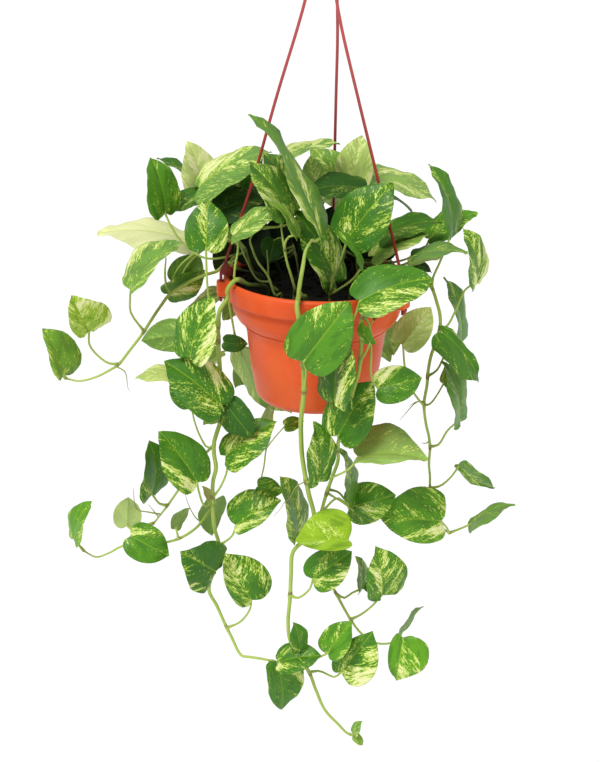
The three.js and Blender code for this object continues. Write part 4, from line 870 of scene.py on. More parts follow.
class Leaf:
    """A blade's axes from its base, its tip and the way it faces; skew widens one half."""

    def __init__(self, base, tip, facing, width, arch, phase, underside=False, skew=0):
        self.base, self.tip, self.width, self.arch, self.phase = base, tip, width, arch, phase
        self.skew = skew
        self.length = (tip - base).length
        self.forward = (tip - base).normalized()
        self.normal = (facing - self.forward * facing.dot(self.forward)).normalized()
        if underside:
            self.normal.negate()
        self.sideways = self.normal.cross(self.forward)
        self.petiole = []

    def spot(self, station, side, out):
        """Along and across shares of a place: station runs from notch to tip, out from midrib to margin."""
        margin_x, margin_y = eased(MARGIN, station)
        rib_x = eased(MIDRIB, station)[0]
        return rib_x + out * (margin_x - rib_x), side * out * margin_y

    def surface(self, x, y, station, side, out, lift):
        """The point of the blade's skin at a place, lift mm off its middle."""
        half_width = self.width / 2
        rise = self.length * 4 * self.arch * x * (1 - x)
        fold = half_width * (FOLD * abs(y) - RECURVE * y * y)
        wave = half_width * WAVE * out * out * math.sin(WAVE_TURN * station + self.phase + side)
        ripple = half_width * RIPPLE * out ** 3 * math.sin(RIPPLE_TURN * station + 2 * self.phase)
        across = y * half_width * (1 + side * self.skew)
        return (self.base + self.forward * (x * self.length) + self.sideways * across
                + self.normal * (rise + fold + wave + ripple + lift))


def eased(table, station):
    """A row between a table's rows, on a smooth line through them."""
    low = min(int(station), len(table) - 2)
    t = station - low
    a, b = table[low], table[low + 1]
    before = table[low - 1] if low else [2 * p - q for p, q in zip(a, b)]
    after = table[low + 2] if low + 2 < len(table) else [2 * q - p for p, q in zip(a, b)]
    return [0.5 * (2 * p + (q - o) * t + (2 * o - 5 * p + 4 * q - n) * t * t
                   + (3 * p - o - 3 * q + n) * t ** 3)
            for o, p, q, n in zip(before, a, b, after)]


def by_length(table, length):
    """The value that a table of upper limits and values gives for a length."""
    return next(value for limit, value in table if length < limit)


class Growth:
    """Points, faces and marks of one leafy piece while it is being made."""

    LEAF, STEM = 0, 1

    def __init__(self, thickness, relief):
        self.points, self.faces, self.finishes = [], [], []
        self.marks = {"Blade": [], "Look": [], "Extra": [], "Stalk": []}
        self.thickness, self.relief = thickness, relief

    def add(self, points, faces, finish, blade, look=(0, 0, 0), extra=(0, 0, 0), stalk=None):
        first = len(self.points)
        self.points += points
        self.faces += [[first + i for i in face] for face in faces]
        self.finishes += [finish] * len(faces)
        self.marks["Blade"] += blade if blade else [(0, 0, 0)] * len(points)
        self.marks["Look"] += [look] * len(points)
        self.marks["Extra"] += [extra] * len(points)
        self.marks["Stalk"] += stalk if stalk else [(0, 0, 0)] * len(points)

    def blade(self, leaf, look, extra):
        """Two skins that meet at the margin, with a groove over the midrib and a rib under it."""
        count = by_length(ROW_COUNTS, leaf.length)
        stations = [FIRST_ROW + (LAST_ROW - FIRST_ROW) * i / (count - 1) for i in range(count)]
        sides = [(-1, out) for out in COLUMNS[:0:-1]] + [(1, out) for out in COLUMNS]
        half_width = leaf.width / 2
        quilt = min(QUILT, QUILT_SHARE * half_width) * self.relief
        points, blade = [], []

        def put(station, side, out, face):
            x, y = leaf.spot(station, side, out)
            off_rib = abs(y) * half_width
            vein = x - VEIN_LEAN * abs(y) - VEIN_CURVE * y * y
            puff = quilt * (1 - math.cos(2 * math.pi * VEINS * vein)) * 2 * out * (1 - out)
            thick = self.thickness / 2 * math.sqrt(1 - out ** 4)
            rib = (RIB if face < 0 else GROOVE) * bell(off_rib, 1.2) * (1 - 0.6 * x) * self.relief
            lift = face * thick + puff - rib
            points.append(leaf.surface(x, y, station, side, out, lift))
            blade.append((x, y, 1.0 if face < 0 else 0.0))
            return len(points) - 1

        notch, tip = put(0, 1, 1, 0), put(9, 1, 1, 0)
        left = [put(station, 1, 1, 0) for station in stations]
        right = [put(station, -1, 1, 0) for station in stations]
        faces = []
        for face in (1, -1):
            rows = []
            for i, station in enumerate(stations):
                rows.append([right[i]] + [put(station, side, out, face) for side, out in sides] + [left[i]])
            skin = [[notch, a, b] for a, b in zip(rows[0], rows[0][1:])]
            for low, high in zip(rows, rows[1:]):
                skin += [[low[j], high[j], high[j + 1], low[j + 1]] for j in range(len(low) - 1)]
            skin += [[a, tip, b] for a, b in zip(rows[-1], rows[-1][1:])]
            faces += skin if face > 0 else [corners[::-1] for corners in skin]
        self.add(points, faces, self.LEAF, blade, look, extra)

    def petiole(self, leaf, foot, young):
        """The leaf's stalk, from under the midrib to a sheath that widens onto its stem."""
        size = PETIOLE * by_length(PETIOLE_SIZES, leaf.length)
        course = Course([leaf.base, *leaf.petiole[:-1], foot])
        steps = max(5, round(course.length / 5))
        inside = leaf.base + leaf.forward * (0.09 * leaf.length) - leaf.normal * 0.35
        centres = [inside, *course.spaced(steps)]
        radii = [0.3]
        for i in range(steps + 1):
            share = i / steps
            swell = 0.22 * bell(i * course.length / steps, 5) + 0.6 * bell((1 - share) * course.length, 6)
            radii.append(size * (0.86 + 0.14 * share + swell))
        points, faces = tube(centres, radii, PETIOLE_SIDES, leaf.sideways)
        stalk = [(0.5 * bell((1 - max(i - 1, 0) / steps) * course.length, 4), young, gloom(centre))
                 for i, centre in enumerate(centres) for _ in range(PETIOLE_SIDES)]
        self.add(points, faces, self.STEM, None, stalk=stalk)

    def stem(self, stem):
        """A stem that swells a little at each node, with a brown scar there, and tapers to its tip."""
        course, radius = stem.course, stem.radius
        steps = max(8, round(course.length / STEM_RING))
        centres = course.spaced(steps)
        radii, stalk = [], []
        for i in range(steps + 1):
            share = i / steps
            near = min([abs(share - foot) for foot in stem.feet] or [1]) * course.length
            taper = 1 - 0.45 * share ** 3 if stem.hangs else 1
            wobble = 1 + 0.05 * noise.noise(centres[i] * 0.06)
            radii.append(radius * wobble * taper * (1 + 0.28 * bell(near, 3.2)))
            scar = 0.9 * bell(near - 2.2, 1.3) + 0.35 * bell(share * course.length, 40)
            young = 0.25 + 0.75 * share if stem.hangs else 0.4
            stalk += [(min(scar, 1), young, gloom(centres[i]))] * STEM_SIDES
        if stem.hangs:
            centres.append(centres[-1] + (centres[-1] - centres[-2]).normalized() * radii[-1])
            radii.append(radii[-1] * 0.35)
            stalk += stalk[-STEM_SIDES:]
        points, faces = tube(centres, radii, STEM_SIDES)
        self.add(points, faces, self.STEM, None, stalk=stalk)

    def root(self, centres, radius):
        """An aerial root or thread that thins out to a point."""
        course = Course(centres)
        steps = max(6, round(course.length / ROOT_RING))
        radii = [radius * (1 - 0.75 * i / steps) for i in range(steps + 1)]
        points, faces = tube(course.spaced(steps), radii, ROOT_SIDES)
        stalk = [(0.25 + 0.6 * i / steps, 0.5, 0) for i in range(steps + 1) for _ in range(ROOT_SIDES)]
        self.add(points, faces, self.STEM, None, stalk=stalk)


# ---------------------------------------------------------------- stems
DARKEST, FRONT_SHARE = 0.93, 0.4  # the deepest painted shade, and how much of it the front of the plant has


def ramp(value, none, full):
    """0 up to none, 1 from full on, straight between."""
    return min(1, max(0, (value - none) / (full - none)))


def gloom(place):
    """How much painted shade darkens a place among the stems: 0 in the open, near 1 at the soil."""
    inside = ramp(place.xy.length, 96, 82) if place.z > SOIL_Z - HOLE_DEPTH else 0
    low = ramp(place.z, RIM_Z + 62, RIM_Z + 2)
    return DARKEST * inside * low * mixed(FRONT_SHARE, 1, ramp(place.y, -72, -32))


class Stem:
    """A stem's smooth course, and the places along its solid where petioles may stand."""

    def __init__(self, points, radius, hangs=True):
        self.course, self.radius, self.hangs = Course(points), radius, hangs
        steps = max(4, math.floor(self.course.length / STEM_STEP + 0.5))
        joints = self.course.spaced(steps)
        self.places = [(mixed(joints[i], joints[i + 1], k / 5), self, (i + k / 5) / steps)
                       for i in range(steps) for k in (1, 2, 3, 4, 5)]
        self.feet = []

    def attach(self, share):
        """Notes a petiole at a share of the length, and gives its foot inside the stem."""
        self.feet.append(share)
        return self.course.at(share)


def nearest_place(places, px, py):
    """The place on the stems that is seen nearest to a pixel."""
    return min(places, key=lambda place: math.dist(pixel_of(place[0]), (px, py)))


def stem_start(hole, over, drop=None):
    """From the bottom of the hole to just above the soil, then over the lip if the stem leaves the pot."""
    points = [Vector((*hole, SOIL_Z - HOLE_DEPTH + 2)), Vector((*hole, SOIL_Z + NECK))]
    if over is not None:
        points += [around(over, radius, RIM_Z + z) for radius, z in OVER_LIP]
    if drop:
        points.append(around(over, drop, RIM_Z - DROP))
    return points


def placed_leaf(row, places, shift):
    """A leaf from its row, moved by shift along the line of sight, with the place of its petiole's foot."""
    base_x, base_y, tip_x, tip_y, seen_width, base_away, tip_away, face, arch, route, skew = row
    base, tip = seen(base_x, base_y, base_away + shift), seen(tip_x, tip_y, tip_away + shift)
    forward = (tip - base).normalized()
    front = (VIEWER - base).normalized()
    front = (front - forward * front.dot(forward)).normalized()
    upward = forward.cross(front)
    if upward.z < 0:
        upward.negate()
    seen_size = seen_width * (VIEWER - base).length / FOCAL
    width = max(seen_size, FULLNESS * (tip - base).length)
    lean = math.acos(min(1, seen_size / width))
    facing = front * math.cos(lean) + upward * math.copysign(math.sin(lean), face)
    leaf = Leaf(base, tip, facing, width, arch, base_x + tip_y, abs(face) == 2, skew)
    foot = nearest_place(places, *route[-1])
    away = base_away + shift
    for i, (px, py) in enumerate(route[:-1]):
        leaf.petiole.append(seen(px, py, away + (i + 1) / len(route) * (foot[0].y - away)))
    leaf.petiole.append(foot[0])
    return leaf, foot


def settled(place, solid):
    """A rule's leaf and foot at the shift that the leaf's solid has, known by where its tip is."""
    best, best_off = None, MATCH
    for shift in SHIFTS:
        leaf, foot = place(shift)
        off = max(solid.find((leaf.tip + leaf.normal * side * SOLID_BLADE / 2) * MM)[2] / MM
                  for side in (1, -1))
        if off < best_off:
            best, best_off = (leaf, foot), off
    if best is None:
        raise ValueError("a leaf's tip isn't in its solid")
    return best


def photo_plant(spec):
    """Stems and leaf rules of a piece whose places were read from the picture."""
    start = stem_start(spec["hole"], spec["over"], spec.get("drop"))
    main = Stem([*start, *(seen(*place) for place in spec["route"])], spec["radius"])
    stems = [main]
    for branch in spec.get("branches", []):
        points = [seen(*place) for place in branch["route"]]
        points[0] = nearest_place(main.places, *branch["route"][0][:2])[0]
        stems.append(Stem(points, branch["radius"]))
    places = [place for stem in stems for place in stem.places]
    rules = []
    for row in spec["leaves"]:
        tone, cream, side, pale, shade = row[-1]
        seed = (row[0] * 7 + row[3] * 13) % 97 / 97
        rules.append((lambda shift, row=row[:-1]: placed_leaf(row, places, shift),
                      (tone, cream, side), (seed, pale, shade)))
    return stems, rules


def back_vine(hole, over, length, leaf_count, seed, spread=1):
    """A stem that hangs down behind the pot, and its leaf rules, by seeded draws."""
    draw = seeded_draw(seed)
    points = stem_start(hole, over)
    sway = (draw() - 0.5) * 14
    points += [around(over + sway * i / 4, 111 - 3 * i, RIM_Z - 4 - length * i / 4) for i in range(1, 5)]
    stem = Stem(points, 1.8)
    rules = []
    for i in range(leaf_count):
        share = 0.36 + 0.62 * i / (leaf_count - 1)
        foot = stem.places[math.floor(share * (len(stem.places) - 1) + 0.5)]
        turn = (1 if i % 2 else -1) * (16 + 10 * draw()) * spread
        size, azimuth = 46 + 16 * draw(), over + turn
        rise = 6 - 22 * draw()
        arch = 0.08 + 0.06 * draw()
        phase = 6 * draw()

        def place(shift, foot=foot, turn=turn, size=size, azimuth=azimuth, rise=rise, arch=arch, phase=phase):
            base = around(azimuth + shift / 6, 128 + shift / 2, foot[0].z + rise)
            tip = around(azimuth + shift / 6 + turn * 0.7, 132 + shift / 2, base.z - size)
            tip += around(azimuth + turn * 2.5, size * 0.4, 0)
            leaf = Leaf(base, tip, around(azimuth, 1, 0.35), FULLNESS * (tip - base).length, arch, phase)
            leaf.petiole = [mixed(base, foot[0], 0.5) + Vector((0, 0, 7)), foot[0]]
            return leaf, foot

        rules.append((place, *back_look(seed, i)))
    return [stem], rules


def back_crown(hole, facing, leaf_count, seed):
    """A short upright stem at the back, and the rules of the leaves that fan out from it."""
    draw = seeded_draw(seed)
    top = around(facing, 18, RIM_Z + 18) + Vector((*hole, 0))
    stem = Stem([*stem_start(hole, None), top], 2.5, hangs=False)
    foot = stem.places[-5]
    rules = []
    for i in range(leaf_count):
        azimuth = facing + ((i + 0.5) / leaf_count - 0.5) * 120 + 10 * (draw() - 0.5)
        reach = 26 + 30 * draw()
        rise = 26 + 44 * (draw() if i % 2 else 1 - 0.4 * draw())
        size = 52 + 16 * draw()
        arch = 0.1 + 0.06 * draw()
        phase = 6 * draw()

        def place(shift, azimuth=azimuth, reach=reach, rise=rise, size=size, arch=arch, phase=phase):
            toward = azimuth + shift / 2
            base = around(toward, reach + shift / 4, rise + shift / 4) + foot[0]
            tip = around(toward, size * 0.86, -size * 0.5) + base
            leaf = Leaf(base, tip, around(toward, 0.5, 1), FULLNESS * size, arch, phase)
            leaf.petiole = [mixed(base, foot[0], 0.45) + Vector((0, 0, 10)), foot[0]]
            return leaf, foot

        rules.append((place, *back_look(seed, i)))
    return [stem], rules


def back_look(seed, i):
    """Tone, cream and lighter side of a leaf at the back, then its seed, paleness and painted shade."""
    tone, cream = 0.25 + 0.45 * ((seed + 7 * i) % 5) / 4, 0.1 + 0.3 * ((seed + 3 * i) % 7) / 6
    return (tone, cream, (seed + i) % 3 - 1), ((seed * 5 + i * 11) % 31 / 31, 0.05, 0)


# ---------------------------------------------------------------- what a user may change
COLOUR = {"size": 4, "min": 0, "max": 1, "subtype": "COLOR"}


class PotProperties(bpy.types.PropertyGroup):
    fresh: FloatVectorProperty(name="Plastic", description="Colour of the pot where it isn't faded",
                               default=(0.82, 0.092, 0.017, 1), **COLOUR)
    faded: FloatVectorProperty(name="Faded plastic", default=(0.89, 0.17, 0.048, 1), **COLOUR,
                               description="Colour of the pot where the sun has faded it")
    # Painted shade: the near-black that veils the pot's inner wall near the lip.
    inner_shade: FloatVectorProperty(name="Painted Inner Shade", description="Colour of the compost that coats the pot's inside",
                              default=(0.006, 0.004, 0.003, 1), **COLOUR)
    rounding: FloatProperty(name="Rounding", description="Radius of the moulded edges", default=0.0008,
                            min=0.0002, max=0.003, unit="LENGTH")
    sides: IntProperty(name="Sides", description="Facets round the pot's wall", default=96, min=24, max=256)


class SoilProperties(bpy.types.PropertyGroup):
    # Both soil colours are near-black: partly the compost's own dark colour, partly painted shade.
    wet: FloatVectorProperty(name="Wet soil", description="Colour of the soil in its hollows",
                             default=(0.002, 0.0015, 0.001, 1), **COLOUR)
    dry: FloatVectorProperty(name="Dry soil", description="Colour of the soil's drier crumbs",
                             default=(0.012, 0.009, 0.005, 1), **COLOUR)
    crumbs: IntProperty(name="Crumbs", description="Loose crumbs on the soil", default=110, min=0, max=400)
    relief: FloatProperty(name="Relief", description="Height of the soil's humps", default=0.003, min=0,
                          max=0.006, unit="LENGTH")


class HangerProperties(bpy.types.PropertyGroup):
    # The hanger's colour runs from bottom, low among the leaves, to top, near the hub: darker towards the
    # bottom.
    top: FloatVectorProperty(name="Upper plastic", description="Colour of the hanger's faded upper end",
                             default=(0.50, 0.085, 0.085, 1), **COLOUR)
    bottom: FloatVectorProperty(name="Lower plastic", description="Colour of the hanger among the leaves",
                                default=(0.27, 0.022, 0.014, 1), **COLOUR)
    leg_radius: FloatProperty(name="Leg radius", description="Radius of the three legs", default=0.0016,
                              min=0.001, max=0.003, unit="LENGTH")


class FoliageProperties(bpy.types.PropertyGroup):
    deep: FloatVectorProperty(name="Deep green", description="Colour of the oldest, darkest leaves",
                              default=(0.030, 0.130, 0.014, 1), **COLOUR)
    leaf: FloatVectorProperty(name="Leaf green", description="Colour of grown leaves",
                              default=(0.120, 0.345, 0.018, 1), **COLOUR)
    young: FloatVectorProperty(name="Young green", description="Colour of young leaves and of veins",
                               default=(0.34, 0.54, 0.02, 1), **COLOUR)
    patch: FloatVectorProperty(name="Light patches", description="Colour of the flecks and streaks",
                               default=(0.60, 0.76, 0.13, 1), **COLOUR)
    cream: FloatVectorProperty(name="Cream", description="Colour of the palest streaks",
                               default=(0.90, 0.90, 0.48, 1), **COLOUR)
    underside: FloatVectorProperty(name="Underside", description="Colour that veils the undersides of leaves",
                                   default=(0.26, 0.40, 0.10, 1), **COLOUR)
    # Painted shade: the near-black that leaves and stems deep inside the plant are darkened towards.
    shade: FloatVectorProperty(name="Shade", description="Colour of leaves and stems deep inside the plant",
                               default=(0.0015, 0.004, 0.001, 1), **COLOUR)
    stem_old: FloatVectorProperty(name="Old stem", description="Colour of the stems near the soil",
                                  default=(0.31, 0.45, 0.06, 1), **COLOUR)
    stem_young: FloatVectorProperty(name="Young stem", description="Colour of petioles and young stems",
                                    default=(0.46, 0.60, 0.13, 1), **COLOUR)
    bark: FloatVectorProperty(name="Scars", description="Colour of the scars at the nodes and of the roots",
                              default=(0.20, 0.13, 0.06, 1), **COLOUR)
    thickness: FloatProperty(name="Leaf thickness", description="Thickness of a blade at its middle",
                             default=0.0005, min=0.0003, max=0.001, unit="LENGTH")
    relief: FloatProperty(name="Vein relief", description="Depth of ribs and quilting, 1 as grown", default=1,
                          min=0, max=2, subtype="FACTOR")


class StageProperties(bpy.types.PropertyGroup):
    floor: FloatProperty(name="Floor height", description="Height of the floor below the hook", default=-1.9,
                         min=-3, max=-1, unit="LENGTH")
    key: FloatProperty(name="Key light", description="Strength of the light from the upper left", default=2.3,
                       min=0, max=10)
    fill: FloatProperty(name="Fill light", description="Strength of the light from the right", default=0.35,
                        min=0, max=10)
    sky: FloatProperty(name="Room light", description="Strength of the light from all round", default=0.38,
                       min=0, max=10)
    glow: FloatProperty(name="Floor glow", description="Light the floor gives off, which keeps it pale",
                        default=0.12, min=0, max=1)
    paper: FloatVectorProperty(name="Floor colour", description="Colour of the pale floor",
                               default=(0.93, 0.93, 0.93, 1), **COLOUR)


# ---------------------------------------------------------------- operators
class MakePot(bpy.types.Operator):
    """Turns the pot's wall, adds its slotted lugs and gives it a sun-faded plastic"""

    bl_idname = "pothos.pot"
    bl_label = "Make the pot"

    def execute(self, context):
        look = context.scene.pothos_pot
        rounding = look.rounding / MM
        plastic = finish_material("Pot Plastic", moulded_plastic(), lambda w: {
            "Place": own_place(w), "Fresh": look.fresh, "Faded": look.faded, "Fading": 0.55,
            "Painted Inner Shade": look.inner_shade}, (0.25, 0.4), 0.18)
        outline = [Vector((r, z + RIM_Z)) for r, z in softened(POT_OUTLINE, rounding)]
        wall = make_piece("Pot", *turned(outline, look.sides), [plastic])
        lugs, slots = [], []
        for name, azimuth in LUGS.items():
            lugs.append(block(f"Lug {name}", azimuth, LUG_INNER, LUG_REACH, LUG_HALF, LUG_TOP, LUG_BOTTOM))
            slots.append(block(f"Slot {name}", azimuth, SLOT_IN, SLOT_OUT, SLOT_HALF, LUG_TOP + SLOT_CLEAR,
                               LUG_BOTTOM - SLOT_CLEAR))
            soften_edges(lugs[-1], LUG_ROUNDING)
        combine(wall, lugs, "UNION")
        combine(wall, slots, "DIFFERENCE")
        crease(wall, 38)
        show(wall, "pot")
        return {"FINISHED"}


def block(name, azimuth, inner, outer, half_width, top, bottom):
    """A lug or slot: a block from an inner to an outer radius, turned to its azimuth."""
    points = [around(azimuth, r, z + RIM_Z) + around(azimuth + 90, side * half_width, 0)
              for z in (bottom, top) for r, side in ((inner, -1), (outer, -1), (outer, 1), (inner, 1))]
    faces = [[3, 2, 1, 0], [4, 5, 6, 7], [0, 1, 5, 4], [1, 2, 6, 5], [2, 3, 7, 6], [3, 0, 4, 7]]
    return make_piece(name, points, faces, [])


class MakeSoil(bpy.types.Operator):
    """Fills the pot with humped soil and scatters crumbs on it"""

    bl_idname = "pothos.soil"
    bl_label = "Make the soil"

    def execute(self, context):
        look = context.scene.pothos_soil
        earth = finish_material("Soil", potting_soil(), lambda w: {
            "Place": own_place(w), "Wet": look.wet, "Dry": look.dry}, (0.7, 1.5), 0.25)
        rings = [(r, -SOIL_DEPTH) for r in SOIL_RINGS]
        points, faces = turned([(r, z + RIM_Z) for r, z in SOIL_OUTLINE + rings], SOIL_SIDES)
        height = look.relief / MM
        for point in points:
            if point.z > SOIL_Z - 1:
                hump = noise.noise(point * 0.06) + 0.5 * noise.noise(point * 0.19)
                point.z += height * (hump - 0.3) * min(1, (SOIL_RIM - point.xy.length) / SOIL_RIM_RUN)
        draw = seeded_draw(CRUMB_SEED)
        for _ in range(look.crumbs):
            place = around(360 * draw(), CRUMB_REACH * math.sqrt(draw()), SOIL_Z + 0.6)
            add_crumb(points, faces, place, 1.2 + 2.4 * draw() ** 2, draw)
        show(make_piece("Soil", points, faces, [earth]), "soil")
        return {"FINISHED"}


def add_crumb(points, faces, place, size, draw):
    """An uneven crumb of soil."""
    work = bmesh.new()
    bmesh.ops.create_icosphere(work, subdivisions=2, radius=1)
    stretch = Vector((0.7 + 0.6 * draw(), 0.7 + 0.6 * draw(), 0.5 + 0.4 * draw()))
    first, shift = len(points), Vector((30 * draw(), 0, 0))
    for vertex in work.verts:
        rough = 1 + 0.45 * noise.noise(vertex.co * 1.6 + shift)
        points.append(place + vertex.co * stretch * size * rough)
    faces += [[first + vertex.index for vertex in face.verts] for face in work.faces]
    work.free()


class MakeHanger(bpy.types.Operator):
    """Makes the hub with its hook, and the three legs that clip into the pot's lugs"""

    bl_idname = "pothos.hanger"
    bl_label = "Make the hanger"

    def execute(self, context):
        look = context.scene.pothos_hanger
        radius = look.leg_radius / MM

        def inputs(w):
            place = own_place(w)
            # darker towards the bottom of the legs, lighter towards the hub
            height = w.apart(place)[2]
            fresh = w.blend(w.step(height, (RIM_Z + 40) * MM, (HUB_Z - 90) * MM), look.bottom, look.top)
            return {"Place": place, "Fresh": fresh, "Faded": look.top, "Fading": 0.25, "Painted Inner Shade": fresh}

        plastic = finish_material("Hanger Plastic", moulded_plastic(), inputs, (0.2, 0.3), 0.3)
        for side, azimuth in LUGS.items():
            rod = Course([*(around(azimuth, r, RIM_Z + z) for r, z in LEG_FOOT), *LEG_BENDS[side],
                          around(azimuth, LEG_TOP, HUB_Z - GAP)]).spaced(LEG_RINGS)
            leg = make_piece(f"Hanger_leg_{side}", *tube(rod, [radius] * len(rod), LEG_SIDES), [plastic])
            strap = fork(azimuth)
            soften_edges(strap, FORK_ROUNDING)
            combine(leg, [strap], "UNION")
            crease(leg, 38)
            show(leg, f"hanger_leg_{side}")
        hub_outline = [Vector((r, z + HUB_Z)) for r, z in softened(HUB_OUTLINE, HUB_ROUNDING)]
        hub = make_piece("Hanger_hook", *turned(hub_outline, HUB_SIDES), [plastic])
        combine(hub, [hook_wire()], "UNION")
        crease(hub, 45)
        show(hub, "hanger_hook")
        return {"FINISHED"}


def fork(azimuth):
    """The strap that straddles the lip: one prong inside it, the other barbed under the lug."""
    count = len(FORK_OUTLINE)
    points = [around(azimuth, r, z + RIM_Z) + around(azimuth + 90, side * FORK_WIDTH / 2, 0)
              for side in (-1, 1) for r, z in FORK_OUTLINE]
    faces = [list(range(count)), list(range(count, 2 * count))[::-1]]
    faces += [[i, i + count, (i + 1) % count + count, (i + 1) % count] for i in range(count)]
    strap = make_piece("Fork", points, faces, [])
    work = bmesh.new()
    work.from_mesh(strap.data)
    bmesh.ops.recalc_face_normals(work, faces=work.faces)
    work.to_mesh(strap.data)
    work.free()
    return strap


def hook_wire():
    """The hook's round wire, from inside the hub over the bearing point to a rounded end."""
    r = EYE_RADIUS + HOOK_WIRE
    eye = [(r * math.cos(math.radians(a)), -EYE_RADIUS + r * math.sin(math.radians(a))) for a in HOOK_ARC]
    centres = Course([(x, 0, z) for x, z in HOOK_STEM + eye]).spaced(HOOK_RINGS)
    end, onward = centres[-1], (centres[-1] - centres[-2]).normalized()
    centres = centres[:-2]  # the rounded end takes the place of the last two
    radii = [HOOK_WIRE] * len(centres)
    for back, share in HOOK_END:
        centres.append(end - onward * back)
        radii.append(HOOK_WIRE * share)
    return make_piece("Hook wire", *tube(centres, radii, HOOK_SIDES), [])


class MakeFoliage(bpy.types.Operator):
    """Grows every vine and tuft: stems, petioles, marbled leaves and aerial roots"""

    bl_idname = "pothos.foliage"
    bl_label = "Grow the foliage"

    def execute(self, context):
        look = context.scene.pothos_foliage
        leaf_finish = finish_material("Leaf", leaf_marbling(), lambda w: {
            "Place": attribute(w, "Blade"), "Look": attribute(w, "Look"), "Extra": attribute(w, "Extra"),
            "Deep Green": look.deep, "Leaf Green": look.leaf, "Young Green": look.young,
            "Light Patch": look.patch, "Cream": look.cream, "Underside": look.underside, "Shade": look.shade},
            (0.35, 0.35), 0.22)
        stem_finish = finish_material("Stem", stem_skin(), lambda w: {
            "Place": own_place(w), "Stalk": attribute(w, "Stalk"), "Old Green": look.stem_old,
            "Young Green": look.stem_young, "Bark": look.bark, "Shade": look.shade}, (0.4, 0.3), 0.25)
        plants = {name: photo_plant(spec) for name, spec in STEMS.items()}
        plants.update({name: back_vine(*spec) for name, spec in BACK_VINES.items()})
        plants.update({name: back_crown(*spec) for name, spec in BACK_CROWNS.items()})
        for name, (stems, rules) in plants.items():
            growth = Growth(look.thickness / MM, look.relief)
            solid = tips_of(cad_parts[name])
            for place, leaf_look, extra in rules:
                leaf, (_, stem, share) = settled(place, solid)
                growth.blade(leaf, leaf_look, extra)
                growth.petiole(leaf, stem.attach(share), 0.45 + 0.5 * leaf_look[0])
            for stem in stems:
                growth.stem(stem)
            places = [place for stem in stems for place in stem.places]
            for piece, radius, route in ROOTS:
                if piece == name:
                    foot = nearest_place(places, *route[0])
                    start = foot[1].course.at(foot[2])
                    growth.root([start, *(seen(px, py, start.y) for px, py in route[1:])], radius)
            title = name.capitalize().replace("Crown", "Tuft")
            piece = make_piece(title, growth.points, growth.faces, [leaf_finish, stem_finish],
                               growth.finishes, growth.marks)
            show(piece, name)
        return {"FINISHED"}


def tips_of(node):
    """A search tree of a solid's corners."""
    corners = node.data.vertices
    tree = kdtree.KDTree(len(corners))
    for corner in corners:
        tree.insert(corner.co, corner.index)
    tree.balance()
    return tree


class MakeStage(bpy.types.Operator):
    """Lays a pale floor, hangs soft lights and sets the camera at the picture's angle"""

    bl_idname = "pothos.stage"
    bl_label = "Set the stage"

    def execute(self, context):
        look, scene = context.scene.pothos_stage, context.scene
        paper = bpy.data.materials.new("Paper")
        paper.use_nodes = True
        shader = paper.node_tree.nodes["Principled BSDF"]
        shader.inputs["Base Color"].default_value = look.paper
        shader.inputs["Roughness"].default_value = 0.9
        shader.inputs["Emission Color"].default_value = look.paper
        shader.inputs["Emission Strength"].default_value = look.glow
        rings = [(r, look.floor / MM) for r in FLOOR_RINGS]
        floor = make_piece("Floor", *turned(rings, FLOOR_SIDES), [paper])
        add_sun("Key", look.key, *KEY_LIGHT)
        add_sun("Fill", look.fill, *FILL_LIGHT)
        world = scene.world or bpy.data.worlds.new("Room")
        scene.world = world
        world.use_nodes = True
        world.node_tree.nodes.clear()
        w = Wiring(world.node_tree)
        white = w.add("ShaderNodeBackground", {"Strength": look.sky})
        white.inputs["Color"].default_value = (1, 1, 1, 1)
        w.add("ShaderNodeOutputWorld", {"Surface": white.outputs[0]})
        data = bpy.data.cameras.new("Camera")
        data.sensor_fit, data.sensor_width = "HORIZONTAL", 36
        data.lens = FOCAL / PICTURE_WIDTH * data.sensor_width
        data.clip_end = 60
        camera = bpy.data.objects.new("Camera", data)
        scene.collection.objects.link(camera)
        camera.location = VIEWER * MM
        camera.rotation_mode = "QUATERNION"
        camera.rotation_quaternion = look_down()
        scene.camera = camera
        scene.view_settings.view_transform = "Standard"
        return {"FINISHED"}


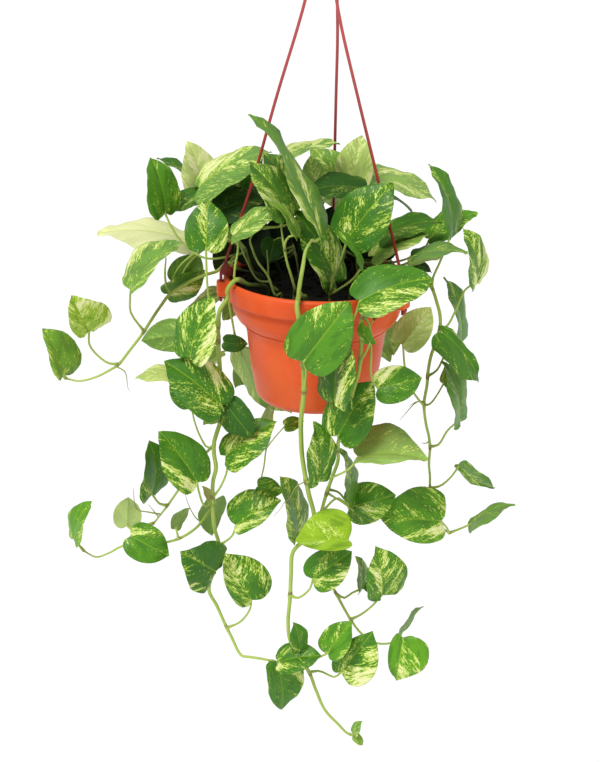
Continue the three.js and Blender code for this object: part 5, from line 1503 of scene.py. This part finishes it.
def look_down():
    """The camera's turn: tipped down by the pitch, then rolled as the picture leans."""
    tipped = Euler((math.radians(90) - PITCH, 0, 0)).to_quaternion()
    return tipped @ Quaternion((0, 0, 1), ROLL)


def add_sun(name, strength, width, direction):
    """A soft light from far away: direction points at the light."""
    data = bpy.data.lights.new(name, "SUN")
    data.energy, data.angle = strength, math.radians(width)
    sun = bpy.data.objects.new(name, data)
    sun.rotation_mode = "QUATERNION"
    sun.rotation_quaternion = Vector(direction).to_track_quat("Z", "Y")
    bpy.context.scene.collection.objects.link(sun)


class PothosPanel(bpy.types.Panel):
    """Sizes and colours of the plant, and the buttons that make it"""

    bl_idname = "VIEW3D_PT_pothos"
    bl_label = "Hanging pothos"
    bl_space_type = "VIEW_3D"
    bl_region_type = "UI"
    bl_category = "Pothos"

    def draw(self, context):
        for label, settings, operator in SECTIONS:
            box = self.layout.box()
            group = getattr(context.scene, settings)
            for name in group.bl_rna.properties.keys():
                if name not in ("rna_type", "name"):
                    box.prop(group, name)
            box.operator(operator.bl_idname, text=label)


SECTIONS = [
    ("Make the pot", "pothos_pot", MakePot),
    ("Make the soil", "pothos_soil", MakeSoil),
    ("Make the hanger", "pothos_hanger", MakeHanger),
    ("Grow the foliage", "pothos_foliage", MakeFoliage),
    ("Set the stage", "pothos_stage", MakeStage),
]
PROPERTIES = {
    "pothos_pot": PotProperties, "pothos_soil": SoilProperties, "pothos_hanger": HangerProperties,
    "pothos_foliage": FoliageProperties, "pothos_stage": StageProperties,
}
CLASSES = [*PROPERTIES.values(), MakePot, MakeSoil, MakeHanger, MakeFoliage, MakeStage, PothosPanel]


def register():
    for made in CLASSES:
        bpy.utils.register_class(made)
    for name, made in PROPERTIES.items():
        setattr(bpy.types.Scene, name, PointerProperty(type=made))


def unregister():
    for name in PROPERTIES:
        delattr(bpy.types.Scene, name)
    for made in reversed(CLASSES):
        bpy.utils.unregister_class(made)


def main():
    register()
    bpy.ops.pothos.stage()
    bpy.ops.pothos.pot()
    bpy.ops.pothos.soil()
    bpy.ops.pothos.hanger()
    bpy.ops.pothos.foliage()
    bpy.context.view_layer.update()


if __name__ == "__main__":
    main()
